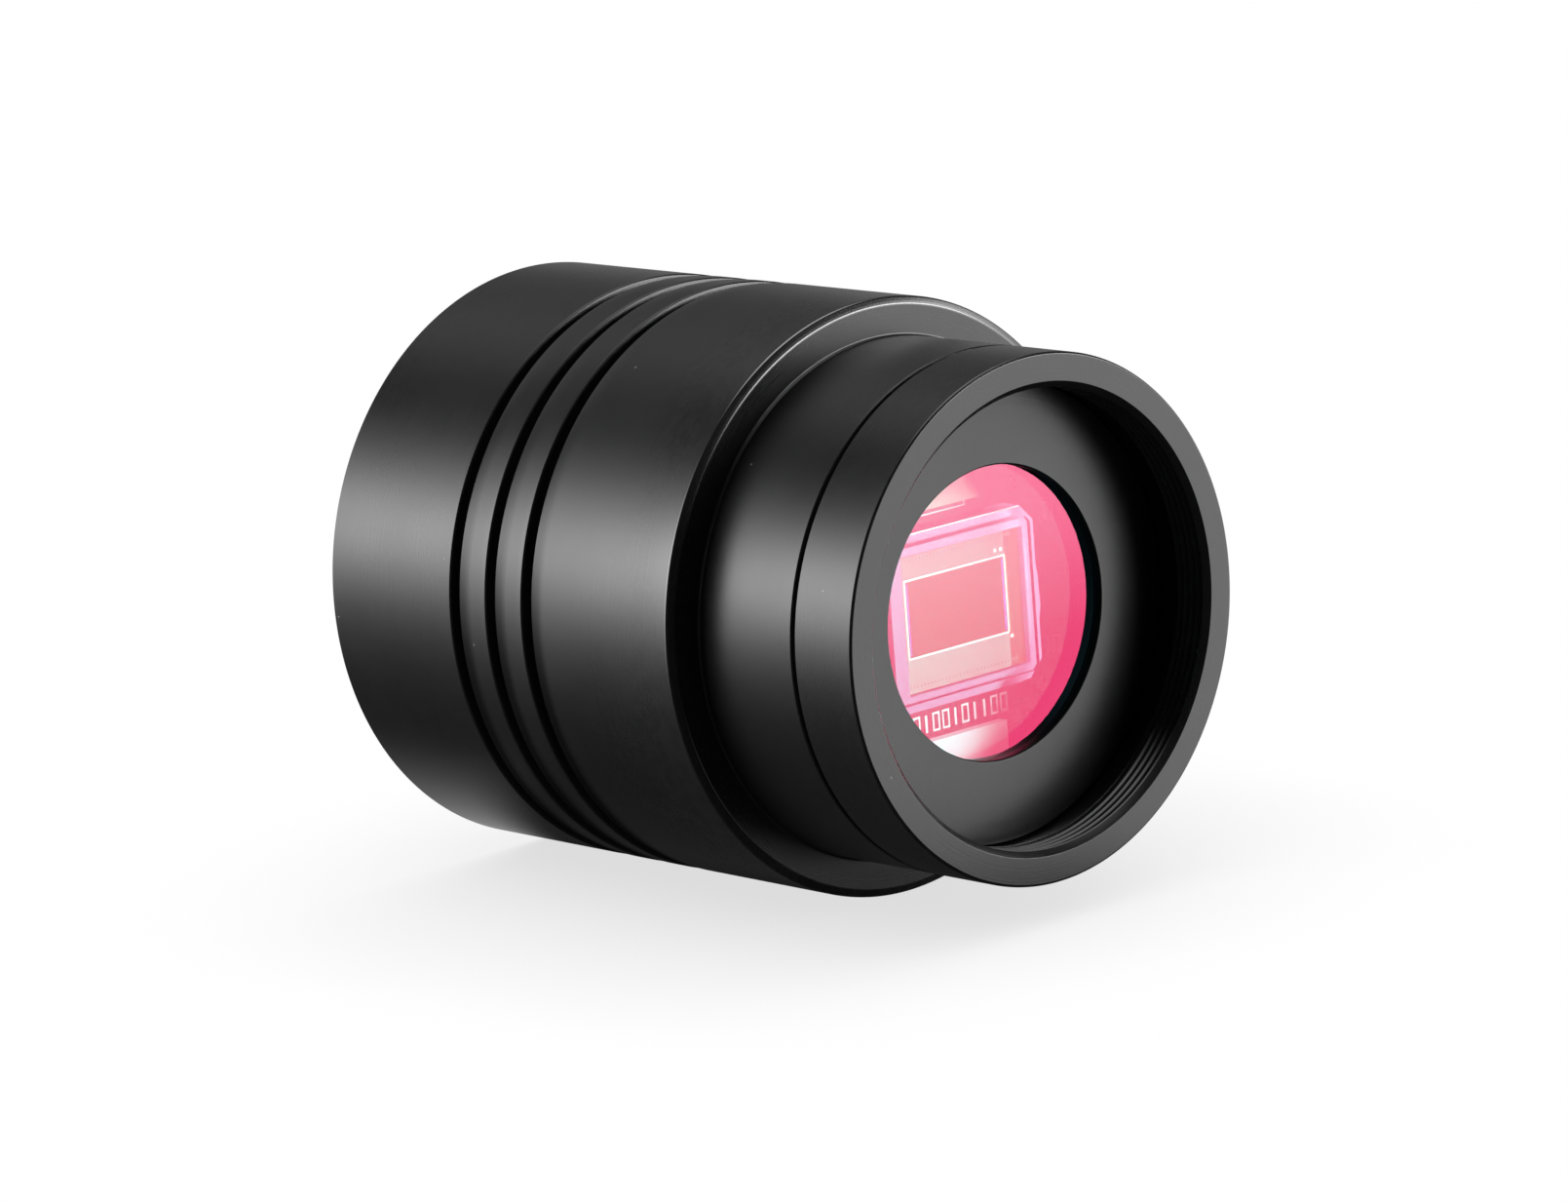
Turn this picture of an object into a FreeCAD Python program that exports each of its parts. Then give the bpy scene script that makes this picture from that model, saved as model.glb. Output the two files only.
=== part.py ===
# Cooled astronomy camera: a turned cylinder with a T2 front ring, a sealed
# sensor chamber behind a window, a Peltier-cooled sensor and a grooved body
# shell that sheds the heat.
#
# Frame: the optical axis is X and the nose looks along +X.  +Z is up.  The
# origin is the centre of the front ring's front face, which is the T2
# shoulder.  Everything sits at negative X.  Millimetres.
import FreeCAD, Part
import Sketcher
import math
import os
from FreeCAD import Vector, Rotation, Placement

doc = FreeCAD.newDocument("astronomy_camera")
sheet = doc.addObject("Spreadsheet::Sheet", "Dims")


class Size:
    """A length with the formula that drives it."""

    def __init__(self, value, formula):
        self.value = float(value)
        self.formula = formula

    @staticmethod
    def of(other):
        if isinstance(other, Size):
            return other
        return Size(other, "%.6f" % other)

    def __add__(self, other):
        term = Size.of(other)
        return Size(self.value + term.value, "(%s + %s)" % (self.formula, term.formula))

    def __sub__(self, other):
        term = Size.of(other)
        return Size(self.value - term.value, "(%s - %s)" % (self.formula, term.formula))

    def __mul__(self, factor):
        return Size(self.value * factor, "(%s * %.8f)" % (self.formula, factor))

    def __truediv__(self, factor):
        return self * (1.0 / factor)

    def __neg__(self):
        return self * -1.0


row_count = 0


def dim(alias, value, note):
    """One driving dimension: name, plain number and note on one sheet row."""
    global row_count
    row_count += 1
    sheet.set("A%d" % row_count, alias)
    sheet.set("B%d" % row_count, "%.6g" % value)
    sheet.set("C%d" % row_count, note)
    sheet.setAlias("B%d" % row_count, alias)
    return Size(value, "Dims." + alias)


# ---------------------------------------------------------------- dimensions
# Fronts, backs, faces and ends are places along X; radii are about the axis.
# outside
nose_radius = dim("nose_radius", 23.75, "front ring and nose barrel, outside")
body_radius = dim("body_radius", 27.3, "body, outside")
ring_back = dim("ring_back", -7.1, "rear shoulder of the front ring")
housing_front = dim("housing_front", -7.5, "front edge of the nose barrel")
nose_root = dim("nose_root", -19.4, "front face of the body")
joint_face = dim("joint_face", -37.75, "front housing meets body shell")
body_back = dim("body_back", -66.2, "rear edge of the body")
bevel_run = dim("bevel_run", 0.4, "bevel on the body's front edge, along the axis")
bevel_drop = dim("bevel_drop", 0.57, "bevel on the body's front edge, across it")
edge_break = dim("edge_break", 0.12, "small edge break on turned edges")
ring_edge = dim("ring_edge", 0.28, "outer edge break of the front ring")
root_fillet = dim("root_fillet", 0.25, "fillet between nose and body")
groove_width = dim("groove_width", 1.4, "body groove, width")
groove_pitch = dim("groove_pitch", 4.95, "body groove, spacing")
groove_depth = dim("groove_depth", 1.4, "body groove, depth")
ease_length = dim("ease_length", 1.5, "eased land in front of a groove, length")
ease_middle = dim("ease_middle", 0.75, "eased land, where its slope steepens")
ease_start = dim("ease_start", 0.07, "eased land, drop where it steepens")
ease_drop = dim("ease_drop", 0.24, "eased land, drop at the groove")

# front thread, M42 x 0.75
thread_crest = dim("thread_crest", 20.59, "internal thread, minor radius")
thread_root = dim("thread_root", 21.0, "internal thread, major radius")
thread_pitch = dim("thread_pitch", 0.75, "internal thread, pitch")
thread_lead = dim("thread_lead", 0.56, "entry bevel of the thread")
thread_end = dim("thread_end", -3.95, "last thread crest")
thread_first = dim("thread_first", -1.03, "first thread valley")
valley_half = dim("valley_half", 0.315, "half width of a thread valley")
relief_radius = dim("relief_radius", 21.05, "bore behind the thread")

# joint between front ring and nose barrel
spigot_radius = dim("spigot_radius", 22.35, "front ring's rear spigot, outside")
spigot_back = dim("spigot_back", -11.5, "end of the rear spigot")
spigot_bore = dim("spigot_bore", 22.42, "nose barrel's bore for the spigot")
washer_inner = dim("washer_inner", 22.55, "slip washer, inside")
washer_outer = dim("washer_outer", 23.28, "slip washer, outside")

# sensor chamber
cell_front = dim("cell_front", -6.2, "front of the aperture plate")
cell_back = dim("cell_back", -11.7, "rear rim of the window cell")
cell_radius = dim("cell_radius", 20.9, "window cell, outside")
aperture = dim("aperture", 13.25, "aperture radius")
window_front = dim("window_front", -7.2, "front of the window")
window_thick = dim("window_thick", 2.0, "window thickness")
window_radius = dim("window_radius", 15.6, "window radius")
retainer_radius = dim("retainer_radius", 16.6, "window retaining ring, outside")
retainer_inner = dim("retainer_inner", 14.6, "window retaining ring, inside")
flange_front = dim("flange_front", -12.0, "front of the inner flange")
flange_back = dim("flange_back", -14.2, "rear of the inner flange")
flange_bore = dim("flange_bore", 17.6, "opening in the inner flange")
screw_circle = dim("screw_circle", 19.2, "circle of the chamber screws")

# sensor
board_thick = dim("board_thick", 1.6, "circuit board thickness")
sensor_board_radius = dim("sensor_board_radius", 21.0, "sensor board radius")
package_wide = dim("package_wide", 20.0, "sensor package, width")
package_tall = dim("package_tall", 16.0, "sensor package, height")
package_front = dim("package_front", -12.0, "front rim of the sensor package")
cavity_wide = dim("cavity_wide", 16.2, "sensor package cavity, width")
cavity_tall = dim("cavity_tall", 12.6, "sensor package cavity, height")
cavity_floor = dim("cavity_floor", -12.93, "floor of the package cavity")
die_wide = dim("die_wide", 15.7, "sensor die, width")
die_tall = dim("die_tall", 12.1, "sensor die, height")
focal_plane = dim("focal_plane", -12.5, "front of the pixel array")
array_wide = dim("array_wide", 12.3, "pixel array, width")
array_tall = dim("array_tall", 6.9, "pixel array, height")
array_thick = dim("array_thick", 0.03, "pixel array, thickness")
glass_thick = dim("glass_thick", 0.7, "sensor cover glass")

# cooling stack
finger_nose_wide = dim("finger_nose_wide", 9.8, "cold finger tip, width")
finger_nose_tall = dim("finger_nose_tall", 7.8, "cold finger tip, height")
finger_plate = dim("finger_plate", 18.0, "cold finger plate, side")
tec_front = dim("tec_front", -18.5, "cold face of the Peltier module")
tec_back = dim("tec_back", -22.5, "hot face of the Peltier module")
tec_side = dim("tec_side", 20.0, "Peltier module, side")
ceramic_thick = dim("ceramic_thick", 0.7, "Peltier plate thickness")
spreader_back = dim("spreader_back", -28.5, "rear of the heat spreader")
inner_bore = dim("inner_bore", 22.8, "front housing, rear bore")
sensor_bay = dim("sensor_bay", 21.3, "front housing, sensor board bay")
spreader_radius = dim("spreader_radius", 22.74, "heat spreader radius")
foam_radius = dim("foam_radius", 16.0, "insulation, outside")

# housing to shell joint
joint_radius = dim("joint_radius", 24.65, "front housing's rear spigot, outside")
joint_back = dim("joint_back", -44.0, "end of that spigot")
shell_bore = dim("shell_bore", 24.72, "body shell, inside")
seal_floor = dim("seal_floor", 23.75, "O-ring groove floor")
seal_front = dim("seal_front", -39.6, "O-ring groove, front wall")
seal_width = dim("seal_width", 1.5, "O-ring groove, width")

# electronics
main_board_front = dim("main_board_front", -35.0, "front of the main board")
rear_board_front = dim("rear_board_front", -48.4, "front of the rear board")
board_radius = dim("board_radius", 22.0, "main and rear board radius")
post_circle = dim("post_circle", 17.5, "circle of the board posts")

# rear
cover_radius = dim("cover_radius", 25.5, "rear cover, outside")
cover_back = dim("cover_back", -65.9, "rear face of the rear cover")
cover_front = dim("cover_front", -63.7, "front face of the rear cover")
lip_front = dim("lip_front", -60.4, "front of the shell's rear lip")
lip_back = dim("lip_back", -63.4, "rear of the shell's rear lip")
lip_bore = dim("lip_bore", 19.8, "opening in the rear lip")
cover_circle = dim("cover_circle", 22.6, "circle of the cover screws")
socket_y = dim("socket_y", -9.0, "data socket, sideways place")
socket_wide = dim("socket_wide", 12.0, "data socket, width")
socket_tall = dim("socket_tall", 10.9, "data socket, height")
jack_y = dim("jack_y", 10.0, "power jack, sideways place")
jack_radius = dim("jack_radius", 4.3, "power jack barrel")
doc.recompute()

# faces set by the driving dimensions
window_back = window_front - window_thick
sensor_board_back = flange_back - board_thick
main_board_back = main_board_front - board_thick
rear_board_back = rear_board_front - board_thick

# angles of the screws and posts about the axis; 0 is +Y, 90 is +Z
clamp_angles = (45, 135, 225, 315)
cell_angles = (90, 210, 330)
post_angles = (30, 150, 270)
cover_angles = (45, 135, 225, 315)

# radii shared by several pieces
small_shank = 0.98      # chamber and clamp screws
small_thread = 1.02     # holes they screw into
small_clearance = 1.1   # holes they pass through
large_shank = 1.22      # board and cover screws, post studs
post_thread = 1.25      # threaded holes for the studs and board screws
post_clearance = 1.3    # holes the studs and board screws pass through

bodies = []


# ---------------------------------------------------------- sketches, outlines
def start(label, turn=0.0):
    """A new piece.  turn rolls the whole piece about the optical axis."""
    body = doc.addObject("PartDesign::Body", label)
    body.Label = label
    body.AllowCompound = True
    body.Placement = Placement(Vector(0, 0, 0), Rotation(Vector(1, 0, 0), turn))
    bodies.append(body)
    return body


def add(body, kind, name):
    """A new object in the body, named after it."""
    return body.newObject(kind, body.Label + "_" + name)


def origin_item(body, role):
    for item in body.Origin.OriginFeatures:
        if item.Role == role:
            return item
    raise RuntimeError(role)


def drive(item, path, size):
    item.setExpression(path, "(%s) * 1mm" % size.formula)


def new_sketch(body, name, role, lift=None):
    """Sketch on an origin plane, or parallel to it at a driven height."""
    sketch = add(body, "Sketcher::SketchObject", name)
    sketch.AttachmentSupport = [(origin_item(body, role), "")]
    sketch.MapMode = "FlatFace"
    if lift is not None:
        sketch.AttachmentOffset = Placement(Vector(0, 0, lift.value), Rotation())
        drive(sketch, "AttachmentOffset.Base.z", lift)
    return sketch


def locate(sketch, geometry, point, place):
    """Hold one point of a geometry by two driven distances from the origin."""
    for kind, size in zip(("DistanceX", "DistanceY"), place):
        size = Size.of(size)
        index = sketch.addConstraint(
            Sketcher.Constraint(kind, -1, 1, geometry, point, size.value))
        drive(sketch, "Constraints[%d]" % index, size)


def polygon(sketch, points):
    """Closed outline with every corner held."""
    first = sketch.GeometryCount
    count = len(points)
    corners = [Vector(Size.of(a).value, Size.of(b).value, 0) for a, b in points]
    for i in range(count):
        sketch.addGeometry(Part.LineSegment(corners[i], corners[(i + 1) % count]), False)
    for i in range(count):
        sketch.addConstraint(
            Sketcher.Constraint("Coincident", first + i, 2, first + (i + 1) % count, 1))
    for i in range(count):
        locate(sketch, first + i, 1, points[i])


def circle(sketch, y, z, radius):
    y, z, radius = Size.of(y), Size.of(z), Size.of(radius)
    disc = Part.Circle(Vector(y.value, z.value, 0), Vector(0, 0, 1), radius.value)
    geometry = sketch.addGeometry(disc, False)
    locate(sketch, geometry, 3, (y, z))
    index = sketch.addConstraint(Sketcher.Constraint("Radius", geometry, radius.value))
    drive(sketch, "Constraints[%d]" % index, radius)


def cross_sketch(body, name, place, outlines):
    """Outlines across the axis at x = place.

    A tuple (y, z, radius) is a circle, a list of (y, z) corners a polygon.
    """
    sketch = new_sketch(body, name, "YZ_Plane", place)
    for outline in outlines:
        if isinstance(outline, tuple):
            circle(sketch, *outline)
        else:
            polygon(sketch, outline)
    return sketch


def box_outline(y, z, wide, tall, cut=0.0):
    """Rectangle round (y, z), with its corners cut when cut is not zero."""
    y, z = Size.of(y), Size.of(z)
    a, b = Size.of(wide) / 2, Size.of(tall) / 2
    if not cut:
        return [(y - a, z - b), (y + a, z - b), (y + a, z + b), (y - a, z + b)]
    return [(y - a + cut, z - b), (y + a - cut, z - b),
            (y + a, z - b + cut), (y + a, z + b - cut),
            (y + a - cut, z + b), (y - a + cut, z + b),
            (y - a, z + b - cut), (y - a, z - b + cut)]


def hexagon(z, corner_radius, first_angle=0):
    """Hexagon round (0, z)."""
    angles = [math.radians(60 * i + first_angle) for i in range(6)]
    return [(Size.of(corner_radius * math.cos(angle)), z + corner_radius * math.sin(angle))
            for angle in angles]


def around(circle_radius, degrees):
    """Sketch place on a circle about the optical axis; 0 is +Y, 90 is +Z."""
    angle = math.radians(degrees)
    return circle_radius * math.cos(angle), circle_radius * math.sin(angle)


# ------------------------------------------------------------------- features
def revolve(body, points, name="Profile", kind="PartDesign::Revolution"):
    """Turn an (x, radius) outline about the optical axis."""
    sketch = new_sketch(body, name, "XZ_Plane")
    polygon(sketch, points)
    feature = add(body, kind, name + "_turned")
    feature.Profile = sketch
    feature.ReferenceAxis = (sketch, ["H_Axis"])
    feature.Angle = 360
    doc.recompute()
    return feature


def turned(label, points):
    body = start(label)
    revolve(body, points)
    return body


def pad(body, name, back, front, outlines):
    """Solid between x = back and x = front."""
    sketch = cross_sketch(body, name, back, outlines)
    feature = add(body, "PartDesign::Pad", name + "_pad")
    feature.Profile = sketch
    length = front - back
    feature.Length = length.value
    drive(feature, "Length", length)
    doc.recompute()
    return feature


def padded(label, name, back, front, outlines):
    body = start(label)
    pad(body, name, back, front, outlines)
    return body


def blocks(label, rows):
    """Piece made of boxes.  Row: name, back, front, y, z, wide, tall[, cut]."""
    body = start(label)
    for name, back, front, *box in rows:
        pad(body, name, back, front, [box_outline(*box)])
    return body


def cut_rearward(body, name, sketch, length):
    """Cut from the sketch towards -X, and check that it took material."""
    before = body.Shape.Volume
    feature = add(body, "PartDesign::Pocket", name)
    feature.Profile = sketch
    feature.Length = length.value
    drive(feature, "Length", length)
    doc.recompute()
    # guards against the pocket facing away from the material
    if body.Shape.Volume > before - 1e-4:
        feature.Reversed = True
        doc.recompute()
    if body.Shape.Volume > before - 1e-4:
        raise RuntimeError("nothing cut: " + feature.Name)
    return feature


def pocket(body, name, back, front, outlines):
    """Cut between x = back and x = front."""
    sketch = cross_sketch(body, name, front, outlines)
    return cut_rearward(body, name + "_pocket", sketch, front - back)


def holes(body, name, back, front, circle_radius, angles, radius):
    pocket(body, name, back, front,
           [around(circle_radius, angle) + (radius,) for angle in angles])


def ring_pattern(body, features, count):
    pattern = add(body, "PartDesign::PolarPattern", "around")
    pattern.Originals = features
    pattern.Axis = (origin_item(body, "X_Axis"), [""])
    pattern.Angle = 360
    pattern.Occurrences = count
    body.Tip = pattern
    doc.recompute()


def rearward_pattern(body, feature, pitch, count):
    """Row of copies running towards -X."""
    pattern = add(body, "PartDesign::LinearPattern", "row_X" + str(len(body.Group)))
    pattern.Originals = [feature]
    pattern.Direction = (origin_item(body, "X_Axis"), [""])
    pattern.Reversed = True
    total = pitch * (count - 1)
    pattern.Length = total.value
    drive(pattern, "Length", total)
    pattern.Occurrences = count
    body.Tip = pattern
    doc.recompute()


def grid_pattern(body, feature, prefix, rows):
    """Field of copies across the axis.  Row: direction (y or z), pitch, count."""
    field = add(body, "PartDesign::MultiTransform", "field")
    field.Originals = [feature]
    patterns = []
    for direction, pitch, count in rows:
        pattern = add(body, "PartDesign::LinearPattern", prefix + direction)
        pattern.Direction = (origin_item(body, direction.upper() + "_Axis"), [""])
        pattern.Length = pitch * (count - 1)
        pattern.Occurrences = count
        patterns.append(pattern)
    field.Transformations = patterns
    body.Tip = field
    doc.recompute()


def screws(label, circle_radius, angles, seat, head_back, head_radius, tip, shank_radius,
           socket_radius, socket_deep):
    """Screws along X on a circle, heads to the rear, each with a hex socket."""
    head_bevel = 0.2
    tip_bevel = 0.3
    overrun = 0.5  # the socket cut starts this far behind the head
    body = start(label, angles[0] - 90.0)
    sketch = new_sketch(body, "profile", "XZ_Plane")
    head_edge = circle_radius + head_radius
    shank_edge = circle_radius + shank_radius
    outline = [(head_back, circle_radius), (head_back, head_edge - head_bevel),
               (head_back + head_bevel, head_edge), (seat, head_edge),
               (seat, shank_edge), (tip - tip_bevel, shank_edge),
               (tip, shank_edge - tip_bevel), (tip, circle_radius)]
    polygon(sketch, outline)
    turn = add(body, "PartDesign::Revolution", "turned")
    turn.Profile = sketch
    # the last edge of the outline lies on the screw's own axis
    turn.ReferenceAxis = (sketch, ["Edge%d" % len(outline)])
    turn.Angle = 360
    doc.recompute()
    key = cross_sketch(body, "key", head_back + socket_deep,
                       [hexagon(circle_radius, socket_radius)])
    socket = cut_rearward(body, "socket", key, Size.of(socket_deep + overrun))
    ring_pattern(body, [turn, socket], len(angles))


# ------------------------------------------------------------ front ring, T2
front_ring = turned("front_ring", [
    (0, thread_crest + thread_lead), (0, nose_radius - ring_edge), (-ring_edge, nose_radius),
    (ring_back + edge_break, nose_radius), (ring_back, nose_radius - edge_break),
    (ring_back, spigot_radius), (spigot_back + 0.2, spigot_radius),
    (spigot_back, spigot_radius - 0.2), (spigot_back, relief_radius),
    (thread_end - 0.45, relief_radius), (thread_end, thread_crest),
    (-thread_lead, thread_crest)])
# the thread is a row of plain ring valleys
root_half = 0.03  # half width of the valley's floor
valley = revolve(front_ring, [
    (thread_first - valley_half, thread_crest), (thread_first - root_half, thread_root),
    (thread_first + root_half, thread_root), (thread_first + valley_half, thread_crest),
    (thread_first + valley_half, thread_crest - 0.2),
    (thread_first - valley_half, thread_crest - 0.2)],
    "Valley", "PartDesign::Groove")
rearward_pattern(front_ring, valley, thread_pitch, 4)

# slip washer that keeps the ring's shoulder off the barrel: the dark seam
washer_gap = 0.01
turned("ring_washer", [
    (ring_back - washer_gap, washer_inner), (ring_back - washer_gap, washer_outer),
    (housing_front + washer_gap, washer_outer), (housing_front + washer_gap, washer_inner)])

# ------------------------------------------------------------- front housing
cell_head_seat = flange_back + 1.2  # where the cell screws' heads bear
front_housing = turned("front_housing", [
    (housing_front, spigot_bore), (housing_front, nose_radius - edge_break),
    (housing_front - edge_break, nose_radius), (nose_root, nose_radius),
    (nose_root, body_radius - bevel_drop), (nose_root - bevel_run, body_radius),
    (joint_face + ease_length, body_radius), (joint_face + ease_middle, body_radius - ease_start),
    (joint_face, body_radius - ease_drop),
    (joint_face, joint_radius), (seal_front, joint_radius), (seal_front, seal_floor),
    (seal_front - seal_width, seal_floor), (seal_front - seal_width, joint_radius),
    (joint_back + 0.3, joint_radius), (joint_back, joint_radius - 0.3),
    (joint_back, inner_bore), (tec_back, inner_bore), (tec_back, sensor_bay),
    (flange_back, sensor_bay), (flange_back, flange_bore),
    (flange_front, flange_bore), (flange_front, spigot_bore)])
holes(front_housing, "ClampHoles", flange_back, flange_front,
      screw_circle, clamp_angles, radius=small_thread)
holes(front_housing, "CellHoles", flange_back, flange_front,
      screw_circle, cell_angles, radius=small_clearance)
holes(front_housing, "CellHeads", flange_back, cell_head_seat,
      screw_circle, cell_angles, radius=1.95)


def root_edges(shape):
    """Names of the edges where the nose barrel meets the body's front face."""
    names = []
    for number, edge in enumerate(shape.Edges, 1):
        curve = edge.Curve
        if (isinstance(curve, Part.Circle) and abs(curve.Radius - nose_radius.value) < 1e-4
                and abs(edge.CenterOfMass.x - nose_root.value) < 1e-3):
            names.append("Edge%d" % number)
    return names


# concave fillet at the nose root
fillet_base = front_housing.Tip
fillet_edges = root_edges(front_housing.Shape)
blend = add(front_housing, "PartDesign::Fillet", "root")
blend.Base = (fillet_base, fillet_edges)
blend.Radius = root_fillet.value
drive(blend, "Radius", root_fillet)
doc.recompute()

# --------------------------------------------------------------- body shell
groove_floor = body_radius - groove_depth
rear_bevel = 0.3  # outer bevel of the shell's rear edge
body_shell = turned("body_shell", [
    (joint_face, shell_bore), (joint_face, groove_floor),
    (joint_face - groove_width, groove_floor),
    (joint_face - groove_width, body_radius - edge_break),
    (joint_face - groove_width - edge_break, body_radius),
    (body_back + rear_bevel, body_radius), (body_back, body_radius - rear_bevel),
    (body_back, cover_radius + 0.25), (body_back + 0.15, cover_radius + 0.1),
    (lip_back, cover_radius + 0.1), (lip_back, lip_bore), (lip_front, lip_bore),
    (lip_front, shell_bore)])
# the first groove is the step at the joint; these are the two behind it
groove_front = joint_face - groove_pitch
groove_back = groove_front - groove_width
groove_over = 0.1  # the cut's outline stands this far outside the shell
groove = revolve(body_shell, [
    (groove_front, groove_floor), (groove_front, body_radius - ease_drop),
    (groove_front + ease_middle, body_radius - ease_start),
    (groove_front + ease_length, body_radius),
    (groove_front + ease_length, body_radius + groove_over),
    (groove_back - edge_break - groove_over, body_radius + groove_over),
    (groove_back, body_radius - edge_break), (groove_back, groove_floor)],
    "GrooveCut", "PartDesign::Groove")
rearward_pattern(body_shell, groove, groove_pitch, 2)
holes(body_shell, "CoverThreads", lip_back, lip_front, cover_circle, cover_angles, radius=1.27)

# twelve-sided cord in the middle of its groove
cord_radius = 0.45
turned("shell_oring", [
    (seal_front - seal_width / 2 + cord_radius * math.cos(math.radians(angle)),
     (seal_floor + shell_bore) / 2 + cord_radius * math.sin(math.radians(angle)))
    for angle in range(0, 360, 30)])

# -------------------------------------------------------------- window group
cell_step = window_front - 2.4  # the cell's bore widens behind this
cell_bore = window_radius + 0.1
retainer_bore = retainer_radius + 0.02
window_cell = turned("window_cell", [
    (cell_front, aperture + 0.12), (cell_front, cell_radius - 0.15),
    (cell_front - 0.15, cell_radius), (cell_back, cell_radius),
    (cell_back, retainer_bore), (cell_step, retainer_bore),
    (cell_step, cell_bore), (window_front, cell_bore),
    (window_front, aperture), (cell_front - 0.12, aperture)])
holes(window_cell, "ScrewThreads", cell_back, cell_back + 3.2,
      screw_circle, cell_angles, radius=small_thread)

glass_bevel = 0.15
turned("window_glass", [
    (window_front, 0), (window_front, window_radius - glass_bevel),
    (window_front - glass_bevel, window_radius), (window_back + glass_bevel, window_radius),
    (window_back, window_radius - glass_bevel), (window_back, 0)])

cushion_back = window_back - 0.4
turned("window_cushion", [
    (cushion_back, retainer_inner), (cushion_back, window_radius),
    (window_back, window_radius - glass_bevel), (window_back, retainer_inner)])

retainer_back = cell_back + 0.1
window_retainer = turned("window_retainer", [
    (retainer_back, retainer_inner), (retainer_back, retainer_radius),
    (cushion_back, retainer_radius), (cushion_back, retainer_inner)])
slot_y = (retainer_inner + retainer_radius) / 2
pocket(window_retainer, "SpannerSlots", retainer_back, cell_back + 0.7, [
    box_outline(slot_y, 0, wide=2.4, tall=1.2),
    box_outline(-slot_y, 0, wide=2.4, tall=1.2)])

chamber_gasket = turned("chamber_gasket", [
    (flange_front, flange_bore + 0.2), (flange_front, cell_radius - 0.1),
    (cell_back, cell_radius - 0.1), (cell_back, flange_bore + 0.2)])
holes(chamber_gasket, "Holes", flange_front, cell_back,
      screw_circle, cell_angles, radius=1.15)

screws("cell_screws", screw_circle, cell_angles, seat=cell_head_seat,
       head_back=flange_back + 0.1, head_radius=1.8, tip=flange_back + 5.4,
       shank_radius=small_shank, socket_radius=0.75, socket_deep=0.6)

# ------------------------------------------------------------------- sensor
# the package sits off the axis so that the pixel array is centred on it
package_z = -0.25
cavity_y = 0.1
cavity_z = package_z - 0.15
array_back = focal_plane - array_thick
sensor_package = blocks("sensor_package", [
    ("Block", flange_back, package_front, 0, package_z, package_wide, package_tall, 1.6)])
pocket(sensor_package, "Cavity", cavity_floor, package_front,
       [box_outline(cavity_y, cavity_z, cavity_wide, cavity_tall)])
blocks("sensor_die", [
    ("Chip", cavity_floor, array_back, cavity_y, cavity_z, die_wide, die_tall)])
blocks("pixel_array", [("Field", array_back, focal_plane, 0, 0, array_wide, array_tall)])
glass_overlap = 1.6  # cover glass larger than the cavity, over both sides
blocks("sensor_glass", [
    ("Glass", package_front, package_front + glass_thick, 0.05, package_z - 0.1,
     cavity_wide + glass_overlap, cavity_tall + glass_overlap, 0.5)])

sensor_board = padded("sensor_board", "Board", sensor_board_back, flange_back,
                      [(0, 0, sensor_board_radius)])
holes(sensor_board, "Holes", sensor_board_back, flange_back,
      screw_circle, clamp_angles, radius=small_clearance)
pocket(sensor_board, "FingerSlot", sensor_board_back, flange_back,
       [box_outline(0, 0, finger_nose_wide + 0.4, finger_nose_tall + 0.4)])

# parts on the sensor board's front face
blocks("front_chips", [
    ("LowerPart", flange_back, flange_back + 1.0, 1.4, -13.4, 9.6, 3.2),
    ("UpperPart", flange_back, flange_back + 1.2, -1.1, 11.0, 11.6, 3.6)])

capacitor_long = 1.7
capacitor_short = 0.9
upright_places = [  # (y, z), long side along Z
    (-12.4, 5.2), (-12.4, 2.4), (-12.4, -0.4), (-12.4, -3.2), (13.6, 6.0), (13.6, -6.4)]
level_places = [  # (y, z), long side along Y
    (-7.4, -12.6), (-7.4, -14.4), (9.6, 11.2), (9.6, 13.0)]
padded("front_capacitors", "Row", flange_back, flange_back + 0.8,
       [box_outline(y, z, capacitor_short, capacitor_long) for y, z in upright_places]
       + [box_outline(y, z, capacitor_long, capacitor_short) for y, z in level_places])

# ------------------------------------------------------------ cooling stack
finger_front = flange_back - 0.3
cold_plate_back = tec_front - ceramic_thick
hot_plate_front = tec_back + ceramic_thick
lead_z = 13.3  # height of the Peltier leads and their slot

blocks("finger_pad", [("Pad", finger_front, flange_back,
                       0, 0, finger_nose_wide - 0.2, finger_nose_tall - 0.2)])
# the tip starts 0.1 inside the plate, so the two join
blocks("cold_finger", [
    ("Tip", tec_front + 2.2, finger_front, 0, 0, finger_nose_wide, finger_nose_tall),
    ("Plate", tec_front, tec_front + 2.3, 0, 0, finger_plate, finger_plate, 0.8)])

foam_back = tec_back + 0.1
insulation_ring = padded(
    "insulation_ring", "Foam", foam_back, sensor_board_back - 0.1,
    [(0, 0, foam_radius), box_outline(0, 0, tec_side + 0.6, tec_side + 0.6)])
# relief above, where the module's longer plate and its leads come out
pocket(insulation_ring, "PlateGap", foam_back, tec_back + 1.0,
       [box_outline(0, tec_side / 2 + 0.9, wide=20.6, tall=2.0)])
pocket(insulation_ring, "LeadGap", foam_back, tec_back + 3.0,
       [box_outline(0, tec_side / 2 + 2.5, wide=8.0, tall=6.0)])

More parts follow.
